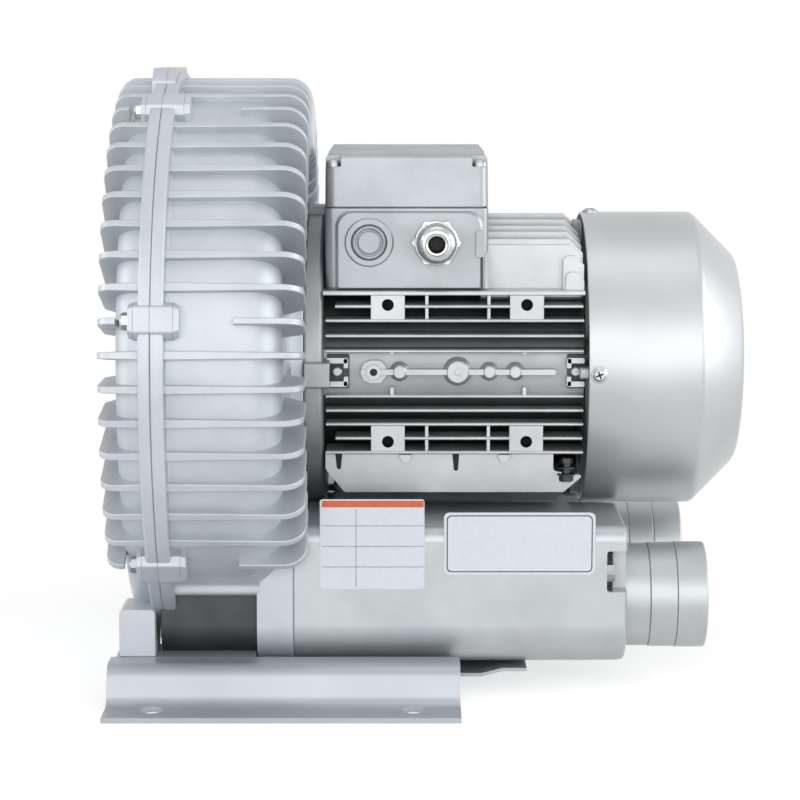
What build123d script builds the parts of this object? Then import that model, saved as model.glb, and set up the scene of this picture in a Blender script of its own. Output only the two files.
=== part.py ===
"""Side channel blower: a finned side channel head driven by a fan-cooled motor on its own shaft.

Millimetres, +Z up. The motor axis runs along +X, from the blower head towards the fan cowl.
The origin is on the floor, at the centre of the four foot holes.
"""
from build123d import *
import os
from math import cos, radians, sin

os.makedirs("parts", exist_ok=True)

# ---- driving dimensions -------------------------------------------------------------------
AXIS_Z = 182                 # motor axis above the floor
FOOT_PITCH_X = 145           # foot holes along the axis
FOOT_PITCH_Y = 306           # foot holes across the axis
FOOT_HOLE_R = 6.5

HEAD_R = 163                 # blower head, body
FIN_R = 167                  # tips of the radial fins
FLANGE_R = 171               # clamping flange
FIN_COUNT = 56
FIN_T = 4
LUG_COUNT = 7                # clamp lugs, one on every eighth fin
LUG_ANGLE = 13.5             # first lug, above the horizontal
JOINT_X = -69.5              # joint between cover and housing
FLANGE_T = 7
COVER_FACE_X = -90
COVER_FIN_X = -99
HOUSING_FACE_X = 0
HOUSING_FIN_X = 13
CAVITY_R = 156               # inside of the head
CHANNEL_R = 112              # inner wall of the side channel
WALL = 6
IMPELLER_R = 155
IMPELLER_X0 = -64            # the two faces of the impeller
IMPELLER_X1 = -28
BLADE_COUNT = 42
GAP = 0.6                    # running gap at the faces of the impeller

PORT_Y = 70                  # ducts, silencers and hose spigots
PORT_Z = 51
DUCT_W = 90
DUCT_SIDE_Y = PORT_Y + DUCT_W / 2
DUCT_Z0 = 14
DUCT_Z1 = 104
DUCT_R = 20
SILENCER_X0 = 5
SILENCER_X1 = 194
SPIGOT_X1 = 242
SPIGOT_R = 30
SPIGOT_BORE_R = 27

MOTOR_X0 = 21                # motor frame
MOTOR_X1 = 168
MOTOR_SIDE_Y = 76            # tips of the side fins
STATOR_R = 65
STATOR_SIDES = 36
FRAME_R = 70
ROTOR_R = 34
SHIELD_R = 87
SEAT_R = 12.5                # shaft under the impeller, bearings and rotor
BEARING_R = 26
RUNNING_FIT = 0.05           # radial gap between the shaft and the bearings and seal
SEAL_SIDES = 24

COWL_X0 = 173
COWL_X2 = 264.5
COWL_R = 87.5
COWL_END_R = 61
SHEET = 1.6

BOX_X0 = 22                  # terminal box
BOX_X1 = 116
BOX_Y = 68
BOX_Z0 = 229
BOX_Z1 = 276
BOX_TOP = 306
RAIL_X = 99                  # half length of the foot rails

AXIAL = Plane(origin=(0, 0, AXIS_Z), x_dir=(1, 0, 0), z_dir=(0, -1, 0))
MOTOR_AXIS = Axis((0, 0, AXIS_Z), (1, 0, 0))


def across(x):
    """Plane square to the motor axis at x: its own x runs along +Y and its own y along +Z."""
    return Plane(origin=(x, 0, AXIS_Z), x_dir=(0, 1, 0), z_dir=(1, 0, 0))


def radial(angle):
    """Plane through the motor axis: its own x runs along +X and its own y outwards at the angle."""
    a = radians(angle)
    return Plane(origin=(0, 0, AXIS_Z), x_dir=(1, 0, 0), z_dir=(0, -sin(a), -cos(a)))


def head_sides(radius, mode=Mode.ADD):
    """Many-sided outline of the head: one flat per fin space, with its corners under the fins."""
    RegularPolygon(radius, FIN_COUNT, rotation=180 - LUG_ANGLE, mode=mode)


def save(part, name):
    part.label = name
    export_step(part, f"parts/{name}.step")


lug_angles = [LUG_ANGLE + k * 360 / LUG_COUNT for k in range(LUG_COUNT)]
fin_pitch = 360 / FIN_COUNT
fin_angles = [LUG_ANGLE + k * fin_pitch for k in range(FIN_COUNT)]
# The fins stop above the ducts: the sector round the bottom is bare.
BARE_FROM = 219
BARE_TO = 321
finned = [a for a in fin_angles if not BARE_FROM < a % 360 < BARE_TO]


def on_lug(angle):
    return any(abs((angle - a + 180) % 360 - 180) < 1 for a in lug_angles)


# ---- blower housing -----------------------------------------------------------------------
SHOULDER = 20                # the shoulder of the drum, in two flats
SHOULDER_X = SHOULDER * cos(radians(45))
NECK_X = 10                  # seat of the motor's drive end shield
SEAL_R = 19
FLOOR_X = -8                 # floor of the side channel
LUG_R0 = 156
LUG_R1 = 173
LUG_W = 16
LUG_X0 = -81
LUG_X1 = -54
FIN_CORNER = 9               # flat at the free corner of a fin
FIN_ROOT = 3                 # how far a fin is rooted in the wall
STRIPPER_ARC = 28
BOSS_W = 18                  # lifting boss, split by the joint
BOSS_RISE = 2.5              # its height over the flange
BOSS_HALF_L = 7
DUCT_X0 = -16
DUCT_SHOULDER_Z = 59

with BuildPart() as blower_housing:
    with BuildSketch(across(JOINT_X)):
        head_sides(FLANGE_R)
    extrude(amount=FLANGE_T)
    with BuildSketch(across(JOINT_X + FLANGE_T)):
        head_sides(HEAD_R)
    extrude(amount=HOUSING_FACE_X - SHOULDER - JOINT_X - FLANGE_T)
    with BuildSketch(across(HOUSING_FACE_X - SHOULDER)):
        head_sides(HEAD_R)
    extrude(amount=SHOULDER_X, taper=22.5)
    with BuildSketch(across(HOUSING_FACE_X - SHOULDER + SHOULDER_X)):
        head_sides(HEAD_R - SHOULDER + SHOULDER_X)
    extrude(amount=SHOULDER - SHOULDER_X, taper=67.5)
    with BuildSketch(across(HOUSING_FACE_X)):
        RegularPolygon(SHIELD_R, 40)
    extrude(amount=NECK_X - HOUSING_FACE_X)
    # Radial fins: low ribs on the drum that stand free past its shoulder.
    for angle in finned:
        root_x = HOUSING_FACE_X - SHOULDER - 5 if on_lug(angle) else JOINT_X + FLANGE_T - 1
        with BuildSketch(radial(angle)):
            with BuildLine():
                Polyline(
                    (root_x, HEAD_R - FIN_ROOT),
                    (root_x, FIN_R),
                    (HOUSING_FIN_X - FIN_CORNER, FIN_R),
                    (HOUSING_FIN_X, FIN_R - FIN_CORNER),
                    (HOUSING_FIN_X, 122),
                    (HOUSING_FACE_X - FIN_ROOT, 106),
                    (HOUSING_FACE_X - FIN_ROOT, HEAD_R - SHOULDER),
                    (HOUSING_FACE_X - SHOULDER, HEAD_R - FIN_ROOT),
                    close=True,
                )
            make_face()
    extrude(amount=FIN_T / 2, both=True)
    # Clamp lugs on the flange.
    with BuildSketch(across(JOINT_X)):
        with PolarLocations((LUG_R0 + LUG_R1) / 2, LUG_COUNT, start_angle=180 - LUG_ANGLE):
            Rectangle(LUG_R1 - LUG_R0, LUG_W)
    extrude(amount=LUG_X1 - JOINT_X)
    # Half of the lifting boss over the flange.
    with BuildSketch(Plane.YZ.offset(JOINT_X)):
        with Locations((0, AXIS_Z + FLANGE_R - 4)):
            Rectangle(BOSS_W, 2 * (BOSS_RISE + 4))
    extrude(amount=BOSS_HALF_L)
    # Shoulders that lead the drum into the ducts.
    with BuildSketch(Plane.YZ.offset(JOINT_X + FLANGE_T - 1)):
        for side in (1, -1):
            with BuildLine():
                Polyline(
                    (side * (DUCT_SIDE_Y + 3), DUCT_SHOULDER_Z + 10),
                    (side * DUCT_SIDE_Y, DUCT_SHOULDER_Z + 5),
                    (side * DUCT_SIDE_Y, DUCT_SHOULDER_Z),
                    (side * (DUCT_SIDE_Y - 14), DUCT_SHOULDER_Z),
                    (side * (DUCT_SIDE_Y - 14), DUCT_SHOULDER_Z + 10),
                    close=True,
                )
            make_face()
    extrude(amount=DUCT_X0 - JOINT_X - FLANGE_T + 2)
    # Duct castings, one for each port.
    with BuildSketch(Plane.YZ.offset(SILENCER_X0)):
        with Locations((-PORT_Y, (DUCT_Z0 + DUCT_Z1) / 2), (PORT_Y, (DUCT_Z0 + DUCT_Z1) / 2)):
            RectangleRounded(DUCT_W, DUCT_Z1 - DUCT_Z0, DUCT_R)
    extrude(amount=DUCT_X0 - SILENCER_X0)
    # Fins end clear of the silencers.
    with BuildSketch(Plane.YZ.offset(SILENCER_X0)):
        with GridLocations(2 * PORT_Y, 0, 2, 1):
            with Locations((0, (DUCT_Z0 + DUCT_Z1) / 2)):
                Rectangle(DUCT_W + 4, DUCT_Z1 - DUCT_Z0 + 4)
    extrude(amount=HOUSING_FIN_X - SILENCER_X0 + 1, mode=Mode.SUBTRACT)
    # Impeller space with the side channel behind it.
    with BuildSketch(across(JOINT_X)):
        head_sides(CAVITY_R)
    extrude(amount=IMPELLER_X1 + GAP - JOINT_X, mode=Mode.SUBTRACT)
    with BuildSketch(across(JOINT_X)):
        head_sides(CAVITY_R)
        head_sides(CHANNEL_R, mode=Mode.SUBTRACT)
    extrude(amount=FLOOR_X - JOINT_X, mode=Mode.SUBTRACT)
    with BuildSketch(across(IMPELLER_X1)):
        RegularPolygon(SEAL_R, SEAL_SIDES)
    extrude(amount=NECK_X - IMPELLER_X1, mode=Mode.SUBTRACT)
    with BuildSketch(Plane.YZ.offset(SILENCER_X0)):
        with Locations((-PORT_Y, PORT_Z), (PORT_Y, PORT_Z)):
            Circle(SPIGOT_BORE_R)
    extrude(amount=-(SILENCER_X0 - FLOOR_X + 2), mode=Mode.SUBTRACT)
    # Stripper: closes the side channel between the two ports.
    with BuildSketch(radial(-90 - STRIPPER_ARC / 2)):
        with Locations(((IMPELLER_X1 + GAP + FLOOR_X + 2) / 2, (CHANNEL_R + CAVITY_R) / 2)):
            Rectangle(FLOOR_X + 2 - IMPELLER_X1 - GAP, CAVITY_R - CHANNEL_R + 2)
    revolve(axis=MOTOR_AXIS, revolution_arc=-STRIPPER_ARC)
save(blower_housing.part, "blower_housing")

# ---- blower cover -------------------------------------------------------------------------
COVER_SHOULDER = 12
CENTRE_X = -76               # recessed middle of the cover
CENTRE_R = 98
CAP_X = -85                  # cap over the end of the shaft
CAP_R = 30
COVER_CORNER = 6
COVER_SCREW_HEAD = 5
LEG_X0 = -94
LEG_X1 = -73
LEG_Y0 = 84
LEG_Y1 = 116
LEG_TOP = 57
RAIL_TOP = 29
STRIPPER_R = 152

with BuildPart() as blower_cover:
    with BuildSketch(across(JOINT_X)):
        head_sides(FLANGE_R)
    extrude(amount=-FLANGE_T)
    with BuildSketch(across(COVER_FACE_X + COVER_SHOULDER)):
        head_sides(HEAD_R)
    extrude(amount=JOINT_X - COVER_FACE_X - COVER_SHOULDER)
    with BuildSketch(across(COVER_FACE_X + COVER_SHOULDER)):
        head_sides(HEAD_R)
    extrude(amount=-COVER_SHOULDER, taper=45)
    for angle in finned:
        outer_x = LUG_X0 - COVER_SCREW_HEAD - 1 if on_lug(angle) else JOINT_X - FLANGE_T + 1
        with BuildSketch(radial(angle)):
            with BuildLine():
                Polyline(
                    (outer_x, HEAD_R - COVER_SHOULDER),
                    (outer_x, FIN_R),
                    (COVER_FIN_X + COVER_CORNER, FIN_R),
                    (COVER_FIN_X, FIN_R - COVER_CORNER),
                    (COVER_FIN_X, 124),
                    (COVER_FACE_X + FIN_ROOT, 108),
                    (COVER_FACE_X + FIN_ROOT, HEAD_R - COVER_SHOULDER),
                    close=True,
                )
            make_face()
    extrude(amount=FIN_T / 2, both=True)
    with BuildSketch(across(JOINT_X)):
        with PolarLocations((LUG_R0 + LUG_R1) / 2, LUG_COUNT, start_angle=180 - LUG_ANGLE):
            Rectangle(LUG_R1 - LUG_R0, LUG_W)
    extrude(amount=LUG_X0 - JOINT_X)
    with BuildSketch(Plane.YZ.offset(JOINT_X)):
        with Locations((0, AXIS_Z + FLANGE_R - 4)):
            Rectangle(BOSS_W, 2 * (BOSS_RISE + 4))
    extrude(amount=-BOSS_HALF_L - 2)
    # Legs that stand on the foot rails.
    with BuildSketch(Plane.XY.offset(RAIL_TOP)):
        with GridLocations(0, LEG_Y0 + LEG_Y1, 1, 2):
            with Locations(((LEG_X0 + LEG_X1) / 2, 0)):
                Rectangle(LEG_X1 - LEG_X0, LEG_Y1 - LEG_Y0)
    extrude(amount=LEG_TOP - RAIL_TOP)
    # Recessed middle in front, side channel behind, with the land that faces the impeller.
    with BuildSketch(across(COVER_FACE_X)):
        RegularPolygon(CENTRE_R, 40)
    extrude(amount=CENTRE_X - COVER_FACE_X, mode=Mode.SUBTRACT)
    with BuildSketch(across(CAP_X)):
        RegularPolygon(CAP_R, 24)
    extrude(amount=CENTRE_X - CAP_X)
    with BuildSketch(across(JOINT_X)):
        head_sides(CAVITY_R)
        head_sides(CHANNEL_R, mode=Mode.SUBTRACT)
    extrude(amount=COVER_FACE_X + WALL - JOINT_X, mode=Mode.SUBTRACT)
    with BuildSketch(across(JOINT_X)):
        head_sides(CHANNEL_R)
    extrude(amount=IMPELLER_X0 - GAP - JOINT_X)
    with BuildSketch(across(CAP_X + 4)):
        RegularPolygon(CAP_R - 4, 24)
    extrude(amount=IMPELLER_X0 - CAP_X, mode=Mode.SUBTRACT)
    with BuildSketch(radial(-90 - STRIPPER_ARC / 2)):
        with Locations(((IMPELLER_X0 - GAP + COVER_FACE_X + WALL - 2) / 2, (CHANNEL_R + STRIPPER_R) / 2)):
            Rectangle(IMPELLER_X0 - GAP - COVER_FACE_X - WALL + 2, STRIPPER_R - CHANNEL_R + 2)
    revolve(axis=MOTOR_AXIS, revolution_arc=-STRIPPER_ARC)
save(blower_cover.part, "blower_cover")

# ---- cover screws, one per lug: hexagon heads seated on the cover -------------------------
COVER_SCREW_FLATS_R = 5
SCREW_RING_R = 165

with BuildPart() as cover_screws:
    with BuildSketch(across(LUG_X0)):
        with PolarLocations(SCREW_RING_R, LUG_COUNT, start_angle=180 - LUG_ANGLE):
            RegularPolygon(COVER_SCREW_FLATS_R, 6)
    extrude(amount=-COVER_SCREW_HEAD)
save(cover_screws.part, "cover_screws")

# ---- impeller -----------------------------------------------------------------------------
HUB_R = 24
HUB_X0 = -60
RIM_R = 110
RIM_T = 6
DISC_T = 8
BLADE_T = 2.6
DISC_X = (IMPELLER_X0 + IMPELLER_X1) / 2

with BuildPart() as impeller:
    with BuildSketch(across(DISC_X)):
        RegularPolygon(RIM_R - RIM_T / 2, BLADE_COUNT)
    extrude(amount=DISC_T / 2, both=True)
    with BuildSketch(across(IMPELLER_X0)):
        RegularPolygon(RIM_R, BLADE_COUNT)
        RegularPolygon(RIM_R - RIM_T, BLADE_COUNT, mode=Mode.SUBTRACT)
        with PolarLocations((RIM_R - 3 + IMPELLER_R) / 2, BLADE_COUNT):
            Rectangle(IMPELLER_R - RIM_R + 3, BLADE_T)
    extrude(amount=IMPELLER_X1 - IMPELLER_X0)
    with BuildSketch(across(HUB_X0)):
        Circle(HUB_R)
    extrude(amount=IMPELLER_X1 - HUB_X0)
    with BuildSketch(across(HUB_X0)):
        Circle(SEAT_R)
    extrude(amount=IMPELLER_X1 - HUB_X0, mode=Mode.SUBTRACT)
save(impeller.part, "impeller")

# ---- shaft with its rotor -----------------------------------------------------------------
SHAFT_X0 = -66
CORE_X0 = 56
CORE_X1 = 140
BEARING_W = 15
DRIVE_BEARING_X = 12
REAR_BEARING_X = 154
SHAFT_X1 = 210
FAN_SEAT_R = 10
FAN_SEAT_X = 174

with BuildPart() as shaft:
    with BuildSketch(across(SHAFT_X0)):
        Circle(SEAT_R)
    extrude(amount=FAN_SEAT_X - SHAFT_X0)
    with BuildSketch(across(FAN_SEAT_X)):
        Circle(FAN_SEAT_R)
    extrude(amount=SHAFT_X1 - FAN_SEAT_X)
save(shaft.part, "shaft")

with BuildPart() as rotor_core:
    with BuildSketch(across(CORE_X0)):
        RegularPolygon(ROTOR_R, 28)
        Circle(SEAT_R, mode=Mode.SUBTRACT)
    extrude(amount=CORE_X1 - CORE_X0)
save(rotor_core.part, "rotor_core")

with BuildPart() as impeller_screw:
    with BuildSketch(across(SHAFT_X0)):
        RegularPolygon(20, 6)
    extrude(amount=-3)
    with BuildSketch(across(SHAFT_X0 - 3)):
        RegularPolygon(7.5, 6)
    extrude(amount=-5.5)
save(impeller_screw.part, "impeller_screw")

# ---- stator -------------------------------------------------------------------------------
SLOTS = 24
WINDING_L = 14
with BuildPart() as stator_core:
    with BuildSketch(across(CORE_X0)):
        RegularPolygon(STATOR_R, STATOR_SIDES)
        RegularPolygon(ROTOR_R + 1, SLOTS, mode=Mode.SUBTRACT)
    extrude(amount=CORE_X1 - CORE_X0)
save(stator_core.part, "stator_core")

with BuildPart() as stator_windings:
    with BuildSketch(across(CORE_X0 - WINDING_L), across(CORE_X1)):
        RegularPolygon(59, SLOTS)
        RegularPolygon(42, SLOTS, mode=Mode.SUBTRACT)
    extrude(amount=WINDING_L)
save(stator_windings.part, "stator_windings")

# ---- motor frame: one extruded section with side fins, plus pads and bosses ----------------
FRAME_WALL_Y = 72
FRAME_TOP_Z = BOX_Z0 - AXIS_Z             # ledge under the terminal box, above the axis
SIDE_FIN_T = 2.4
SIDE_FINS = (38.6, 29.8, 21, 12.2, -13.9, -22.2, -30.2, -38.4, -46.6)
TOP_FINS = (0, 15, 30, 43, 56)
TOP_FIN_T = 3
TOP_FIN_R = 88
PAD_X = (58, 138)
PAD_W = 19.5
BASIN_Z = -78
BOSSES = ((65, 4.6), (98.5, 7.4), (117, 4.6), (131.5, 4.6))

with BuildPart() as motor_frame:
    with BuildSketch(across(MOTOR_X0)):
        Circle(FRAME_R)
        Rectangle(2 * FRAME_WALL_Y, 30)
        with Locations((0, FRAME_TOP_Z - 1.5)):
            Rectangle(2 * MOTOR_SIDE_Y, 3)
        for z in SIDE_FINS:
            with Locations((0, z)):
                Rectangle(2 * MOTOR_SIDE_Y, SIDE_FIN_T)
        with Locations((0, (BASIN_Z - 50) / 2)):
            Trapezoid(2 * MOTOR_SIDE_Y - 8, -50 - BASIN_Z, 130, rotation=180)
    extrude(amount=MOTOR_X1 - MOTOR_X0)
    # Upright fins behind the terminal box.
    for y in TOP_FINS:
        for side in {1, -1} if y else {1}:
            tip = (TOP_FIN_R**2 - y**2) ** 0.5 if y < 50 else 74
            with BuildSketch(Plane.XZ.offset(-side * y)):
                with BuildLine():
                    Polyline(
                        (BOX_X1, AXIS_Z + 42),
                        (BOX_X1, AXIS_Z + tip),
                        (MOTOR_X1 - 12, AXIS_Z + tip),
                        (MOTOR_X1 - 2, AXIS_Z + tip - 13),
                        (MOTOR_X1 - 2, AXIS_Z + 42),
                        close=True,
                    )
                make_face()
    extrude(amount=TOP_FIN_T / 2, both=True)
    # Pads for a foot on each side, with their tapped holes.
    for side in (1, -1):
        with BuildSketch(Plane.XZ.offset(side * FRAME_WALL_Y - side * 12)):
            for z in (37, -38.5):
                for x in PAD_X:
                    with Locations((x, AXIS_Z + z)):
                        Rectangle(PAD_W, 19)
        extrude(amount=side * (MOTOR_SIDE_Y - FRAME_WALL_Y + 12))
        with BuildSketch(Plane.XZ.offset(side * FRAME_WALL_Y)):
            with Locations((98, AXIS_Z)):
                Rectangle(112, 2.4)
            for x, r in BOSSES:
                with Locations((x, AXIS_Z)):
                    RegularPolygon(r, 12)
        extrude(amount=side * (MOTOR_SIDE_Y - FRAME_WALL_Y))
    with BuildSketch(across(MOTOR_X0)):
        RegularPolygon(STATOR_R, STATOR_SIDES)
    extrude(amount=MOTOR_X1 - MOTOR_X0, mode=Mode.SUBTRACT)
save(motor_frame.part, "motor_frame")

# ---- end shields, bearings and seal -------------------------------------------------------
SHIELD_LUG = 14
SHIELD_LUG_Y = 92

with BuildPart() as drive_end_shield:
    with BuildSketch(across(NECK_X)):
        RegularPolygon(SHIELD_R, 40)
        with PolarLocations(SHIELD_LUG_Y - 8, 4):
            Rectangle(16, SHIELD_LUG)
        RegularPolygon(BEARING_R, SEAL_SIDES, mode=Mode.SUBTRACT)
    extrude(amount=MOTOR_X0 - NECK_X)
    with BuildSketch(across(MOTOR_X0)):
        RegularPolygon(BEARING_R + 8, SEAL_SIDES)
        RegularPolygon(BEARING_R, SEAL_SIDES, mode=Mode.SUBTRACT)
    extrude(amount=DRIVE_BEARING_X + BEARING_W - MOTOR_X0)
save(drive_end_shield.part, "drive_end_shield")

with BuildPart() as rear_end_shield:
    with BuildSketch(across(MOTOR_X1)):
        RegularPolygon(MOTOR_SIDE_Y, 36)
        with PolarLocations(COWL_R - SHEET - 9, 4):
            Rectangle(16, SHIELD_LUG)
        RegularPolygon(BEARING_R, SEAL_SIDES, mode=Mode.SUBTRACT)
    extrude(amount=REAR_BEARING_X + BEARING_W - MOTOR_X1 + 4)
    with BuildSketch(across(MOTOR_X1)):
        RegularPolygon(BEARING_R + 8, SEAL_SIDES)
        RegularPolygon(BEARING_R, SEAL_SIDES, mode=Mode.SUBTRACT)
    extrude(amount=REAR_BEARING_X - MOTOR_X1)
save(rear_end_shield.part, "rear_end_shield")

with BuildPart() as bearings:
    with BuildSketch(across(DRIVE_BEARING_X), across(REAR_BEARING_X)):
        RegularPolygon(BEARING_R, SEAL_SIDES)
        Circle(SEAT_R + RUNNING_FIT, mode=Mode.SUBTRACT)
    extrude(amount=BEARING_W)
save(bearings.part, "bearings")

with BuildPart() as shaft_seal:
    with BuildSketch(across(-12)):
        RegularPolygon(SEAL_R, SEAL_SIDES)
        Circle(SEAT_R + RUNNING_FIT, mode=Mode.SUBTRACT)
    extrude(amount=8)
save(shaft_seal.part, "shaft_seal")

# ---- cooling fan and cowl -----------------------------------------------------------------
FAN_X = 182
FAN_R = 72
FAN_BLADES = 8
FAN_BLADE_L = 26
GRILLE_SLOTS = 10
COWL_SIDES = 40
COWL_DOME = 3.5

with BuildPart() as cooling_fan:
    with BuildSketch(across(FAN_X)):
        RegularPolygon(FAN_R, 4 * FAN_BLADES)
    extrude(amount=3)
    with BuildSketch(across(FAN_X)):
        Circle(16)
        with PolarLocations(44, FAN_BLADES):
            Rectangle(54, 2.6)
    extrude(amount=FAN_BLADE_L)
    with BuildSketch(across(FAN_X)):
        Circle(FAN_SEAT_R)
    extrude(amount=FAN_BLADE_L, mode=Mode.SUBTRACT)
save(cooling_fan.part, "cooling_fan")

with BuildPart() as fan_cowl:
    with BuildSketch(across(COWL_X0)):
        RegularPolygon(COWL_R, COWL_SIDES)
    extrude(amount=COWL_X2 - COWL_X0)
    end_face = fan_cowl.faces().sort_by(Axis.X)[-1]
    chamfer(end_face.edges(), COWL_R - COWL_END_R)
    with BuildSketch(across(COWL_X2)):
        RegularPolygon(COWL_END_R - 6, COWL_SIDES)
    extrude(amount=COWL_DOME)
    offset(amount=-SHEET, openings=fan_cowl.faces().sort_by(Axis.X)[0])
    with BuildSketch(across(COWL_X2 - SHEET - 1)):
        with PolarLocations(33, GRILLE_SLOTS):
            Rectangle(30, 6)
    extrude(amount=COWL_DOME + SHEET + 2, mode=Mode.SUBTRACT)
save(fan_cowl.part, "fan_cowl")

# ---- terminal box -------------------------------------------------------------------------
BOX_WALL = 3
GLAND_X = 86
PLUG_X = 47.5
GLAND_Z = AXIS_Z + 74.5
GLAND_BORE_R = 4.5
PANEL_Y = 72
SADDLE_GAP = 0.1
BOX_FLOOR_Z = AXIS_Z + 74
BAY_Z = AXIS_Z + 62
BAY_Y = 44
THREAD_R = 8
GLAND_SIDES = 16

with BuildPart() as terminal_box:
    with BuildSketch(Plane.XY.offset(BOX_Z0)):
        with Locations(((BOX_X0 + BOX_X1) / 2, 0)):
            RectangleRounded(BOX_X1 - BOX_X0, 2 * BOX_Y, 5)
    extrude(amount=BOX_Z1 - BOX_Z0)
    with BuildSketch(Plane.XZ.offset(BOX_Y)):
        with Locations(((BOX_X0 + BOX_X1) / 2 + 1.5, (BOX_Z0 + BOX_Z1) / 2)):
            RectangleRounded(86, BOX_Z1 - BOX_Z0 - 3, 8)
    extrude(amount=PANEL_Y - BOX_Y)
    # The box straddles the barrel of the motor frame.
    with BuildSketch(across(BOX_X0)):
        Circle(FRAME_R + SADDLE_GAP)
    extrude(amount=BOX_X1 - BOX_X0, mode=Mode.SUBTRACT)
    with BuildSketch(Plane.XY.offset(BOX_FLOOR_Z)):
        with Locations(((BOX_X0 + BOX_X1) / 2, 0)):
            Rectangle(BOX_X1 - BOX_X0 - 2 * BOX_WALL, 2 * BOX_Y - 2 * BOX_WALL)
    extrude(amount=BOX_Z1 - BOX_FLOOR_Z, mode=Mode.SUBTRACT)
    # Deeper bay behind the cable entries.
    with BuildSketch(Plane.XY.offset(BAY_Z)):
        with Locations(((BOX_X0 + BOX_X1) / 2, -(BOX_Y - BOX_WALL + BAY_Y) / 2)):
            Rectangle(BOX_X1 - BOX_X0 - 2 * BOX_WALL, BOX_Y - BOX_WALL - BAY_Y)
    extrude(amount=BOX_Z1 - BAY_Z, mode=Mode.SUBTRACT)
    with BuildSketch(Plane.XZ.offset(PANEL_Y)):
        with Locations((GLAND_X, GLAND_Z), (PLUG_X, GLAND_Z)):
            RegularPolygon(THREAD_R, GLAND_SIDES)
    extrude(amount=-(PANEL_Y - BOX_Y + BOX_WALL), mode=Mode.SUBTRACT)
save(terminal_box.part, "terminal_box")

with BuildPart() as terminal_lid:
    with BuildSketch(Plane.XY.offset(BOX_Z1)):
        with Locations(((BOX_X0 + BOX_X1) / 2, 0)):
            RectangleRounded(BOX_X1 - BOX_X0, 2 * BOX_Y, 5)
    extrude(amount=BOX_TOP - BOX_Z1)
    with BuildSketch(Plane.XY.offset(BOX_TOP)):
        with Locations(((BOX_X0 + BOX_X1) / 2, 0)):
            Rectangle(BOX_X1 - BOX_X0 - 10, 2 * BOX_Y - 10)
    extrude(amount=3, taper=45)
    with BuildSketch(Plane.XY.offset(BOX_Z1)):
        with Locations(((BOX_X0 + BOX_X1) / 2, 0)):
            Rectangle(BOX_X1 - BOX_X0 - 2 * BOX_WALL, 2 * BOX_Y - 2 * BOX_WALL)
    extrude(amount=BOX_TOP - BOX_Z1 - BOX_WALL, mode=Mode.SUBTRACT)
    # Corner notches for the lid screws.
    with BuildSketch(Plane.XY.offset(BOX_TOP - 4)):
        with Locations(((BOX_X0 + BOX_X1) / 2, 0)):
            with GridLocations(BOX_X1 - BOX_X0, 2 * BOX_Y, 2, 2):
                Rectangle(20, 20)
    extrude(amount=10, mode=Mode.SUBTRACT)
save(terminal_lid.part, "terminal_lid")

with BuildPart() as lid_screws:
    with BuildSketch(Plane.XY.offset(BOX_TOP - 4)):
        with Locations(((BOX_X0 + BOX_X1) / 2, 0)):
            with GridLocations(BOX_X1 - BOX_X0 - 11, 2 * BOX_Y - 11, 2, 2):
                RegularPolygon(3.8, 6)
    extrude(amount=3)
save(lid_screws.part, "lid_screws")

with BuildPart() as terminal_board:
    with BuildSketch(Plane.XY.offset(BOX_FLOOR_Z)):
        with Locations(((BOX_X0 + BOX_X1) / 2, 10)):
            Rectangle(54, 44)
    extrude(amount=12)
save(terminal_board.part, "terminal_board")

with BuildPart() as terminal_studs:
    with BuildSketch(Plane.XY.offset(BOX_FLOOR_Z + 12)):
        with Locations(((BOX_X0 + BOX_X1) / 2, 10)):
            with GridLocations(17, 22, 3, 2):
                RegularPolygon(4, 6)
    extrude(amount=4)
    with BuildSketch(Plane.XY.offset(BOX_FLOOR_Z + 16)):
        with Locations(((BOX_X0 + BOX_X1) / 2, 10)):
            with GridLocations(17, 22, 3, 2):
                RegularPolygon(2.2, 8)
    extrude(amount=6)
save(terminal_studs.part, "terminal_studs")

# ---- cable gland and blanking plug --------------------------------------------------------
with BuildPart() as gland_body:
    with BuildSketch(Plane.XZ.offset(PANEL_Y)):
        with Locations((GLAND_X, GLAND_Z)):
            RegularPolygon(14.5, 6)
    extrude(amount=8)
    with BuildSketch(Plane.XZ.offset(PANEL_Y)):
        with Locations((GLAND_X, GLAND_Z)):
            RegularPolygon(THREAD_R, GLAND_SIDES)
    extrude(amount=-(PANEL_Y - BOX_Y + BOX_WALL + 4))
    with BuildSketch(Plane.XZ.offset(PANEL_Y + 8)):
        with Locations((GLAND_X, GLAND_Z)):
            RegularPolygon(GLAND_BORE_R + 1.5, GLAND_SIDES)
    extrude(amount=-30, mode=Mode.SUBTRACT)
save(gland_body.part, "gland_body")

with BuildPart() as gland_nut:
    with BuildSketch(Plane.XZ.offset(PANEL_Y + 8)):
        with Locations((GLAND_X, GLAND_Z)):
            RegularPolygon(11.5, GLAND_SIDES)
    extrude(amount=7)
    with BuildSketch(Plane.XZ.offset(PANEL_Y + 15)):
        with Locations((GLAND_X, GLAND_Z)):
            RegularPolygon(9, GLAND_SIDES)
    extrude(amount=4)
    with BuildSketch(Plane.XZ.offset(PANEL_Y + 8)):
        with Locations((GLAND_X, GLAND_Z)):
            Circle(GLAND_BORE_R)
    extrude(amount=12, mode=Mode.SUBTRACT)
save(gland_nut.part, "gland_nut")

with BuildPart() as blanking_plug:
    with BuildSketch(Plane.XZ.offset(PANEL_Y)):
        with Locations((PLUG_X, GLAND_Z)):
            RegularPolygon(10.5, GLAND_SIDES)
    extrude(amount=2.5)
    with BuildSketch(Plane.XZ.offset(PANEL_Y)):
        with Locations((PLUG_X, GLAND_Z)):
            RegularPolygon(THREAD_R, GLAND_SIDES)
    extrude(amount=-(PANEL_Y - BOX_Y + BOX_WALL))
save(blanking_plug.part, "blanking_plug")

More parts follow.
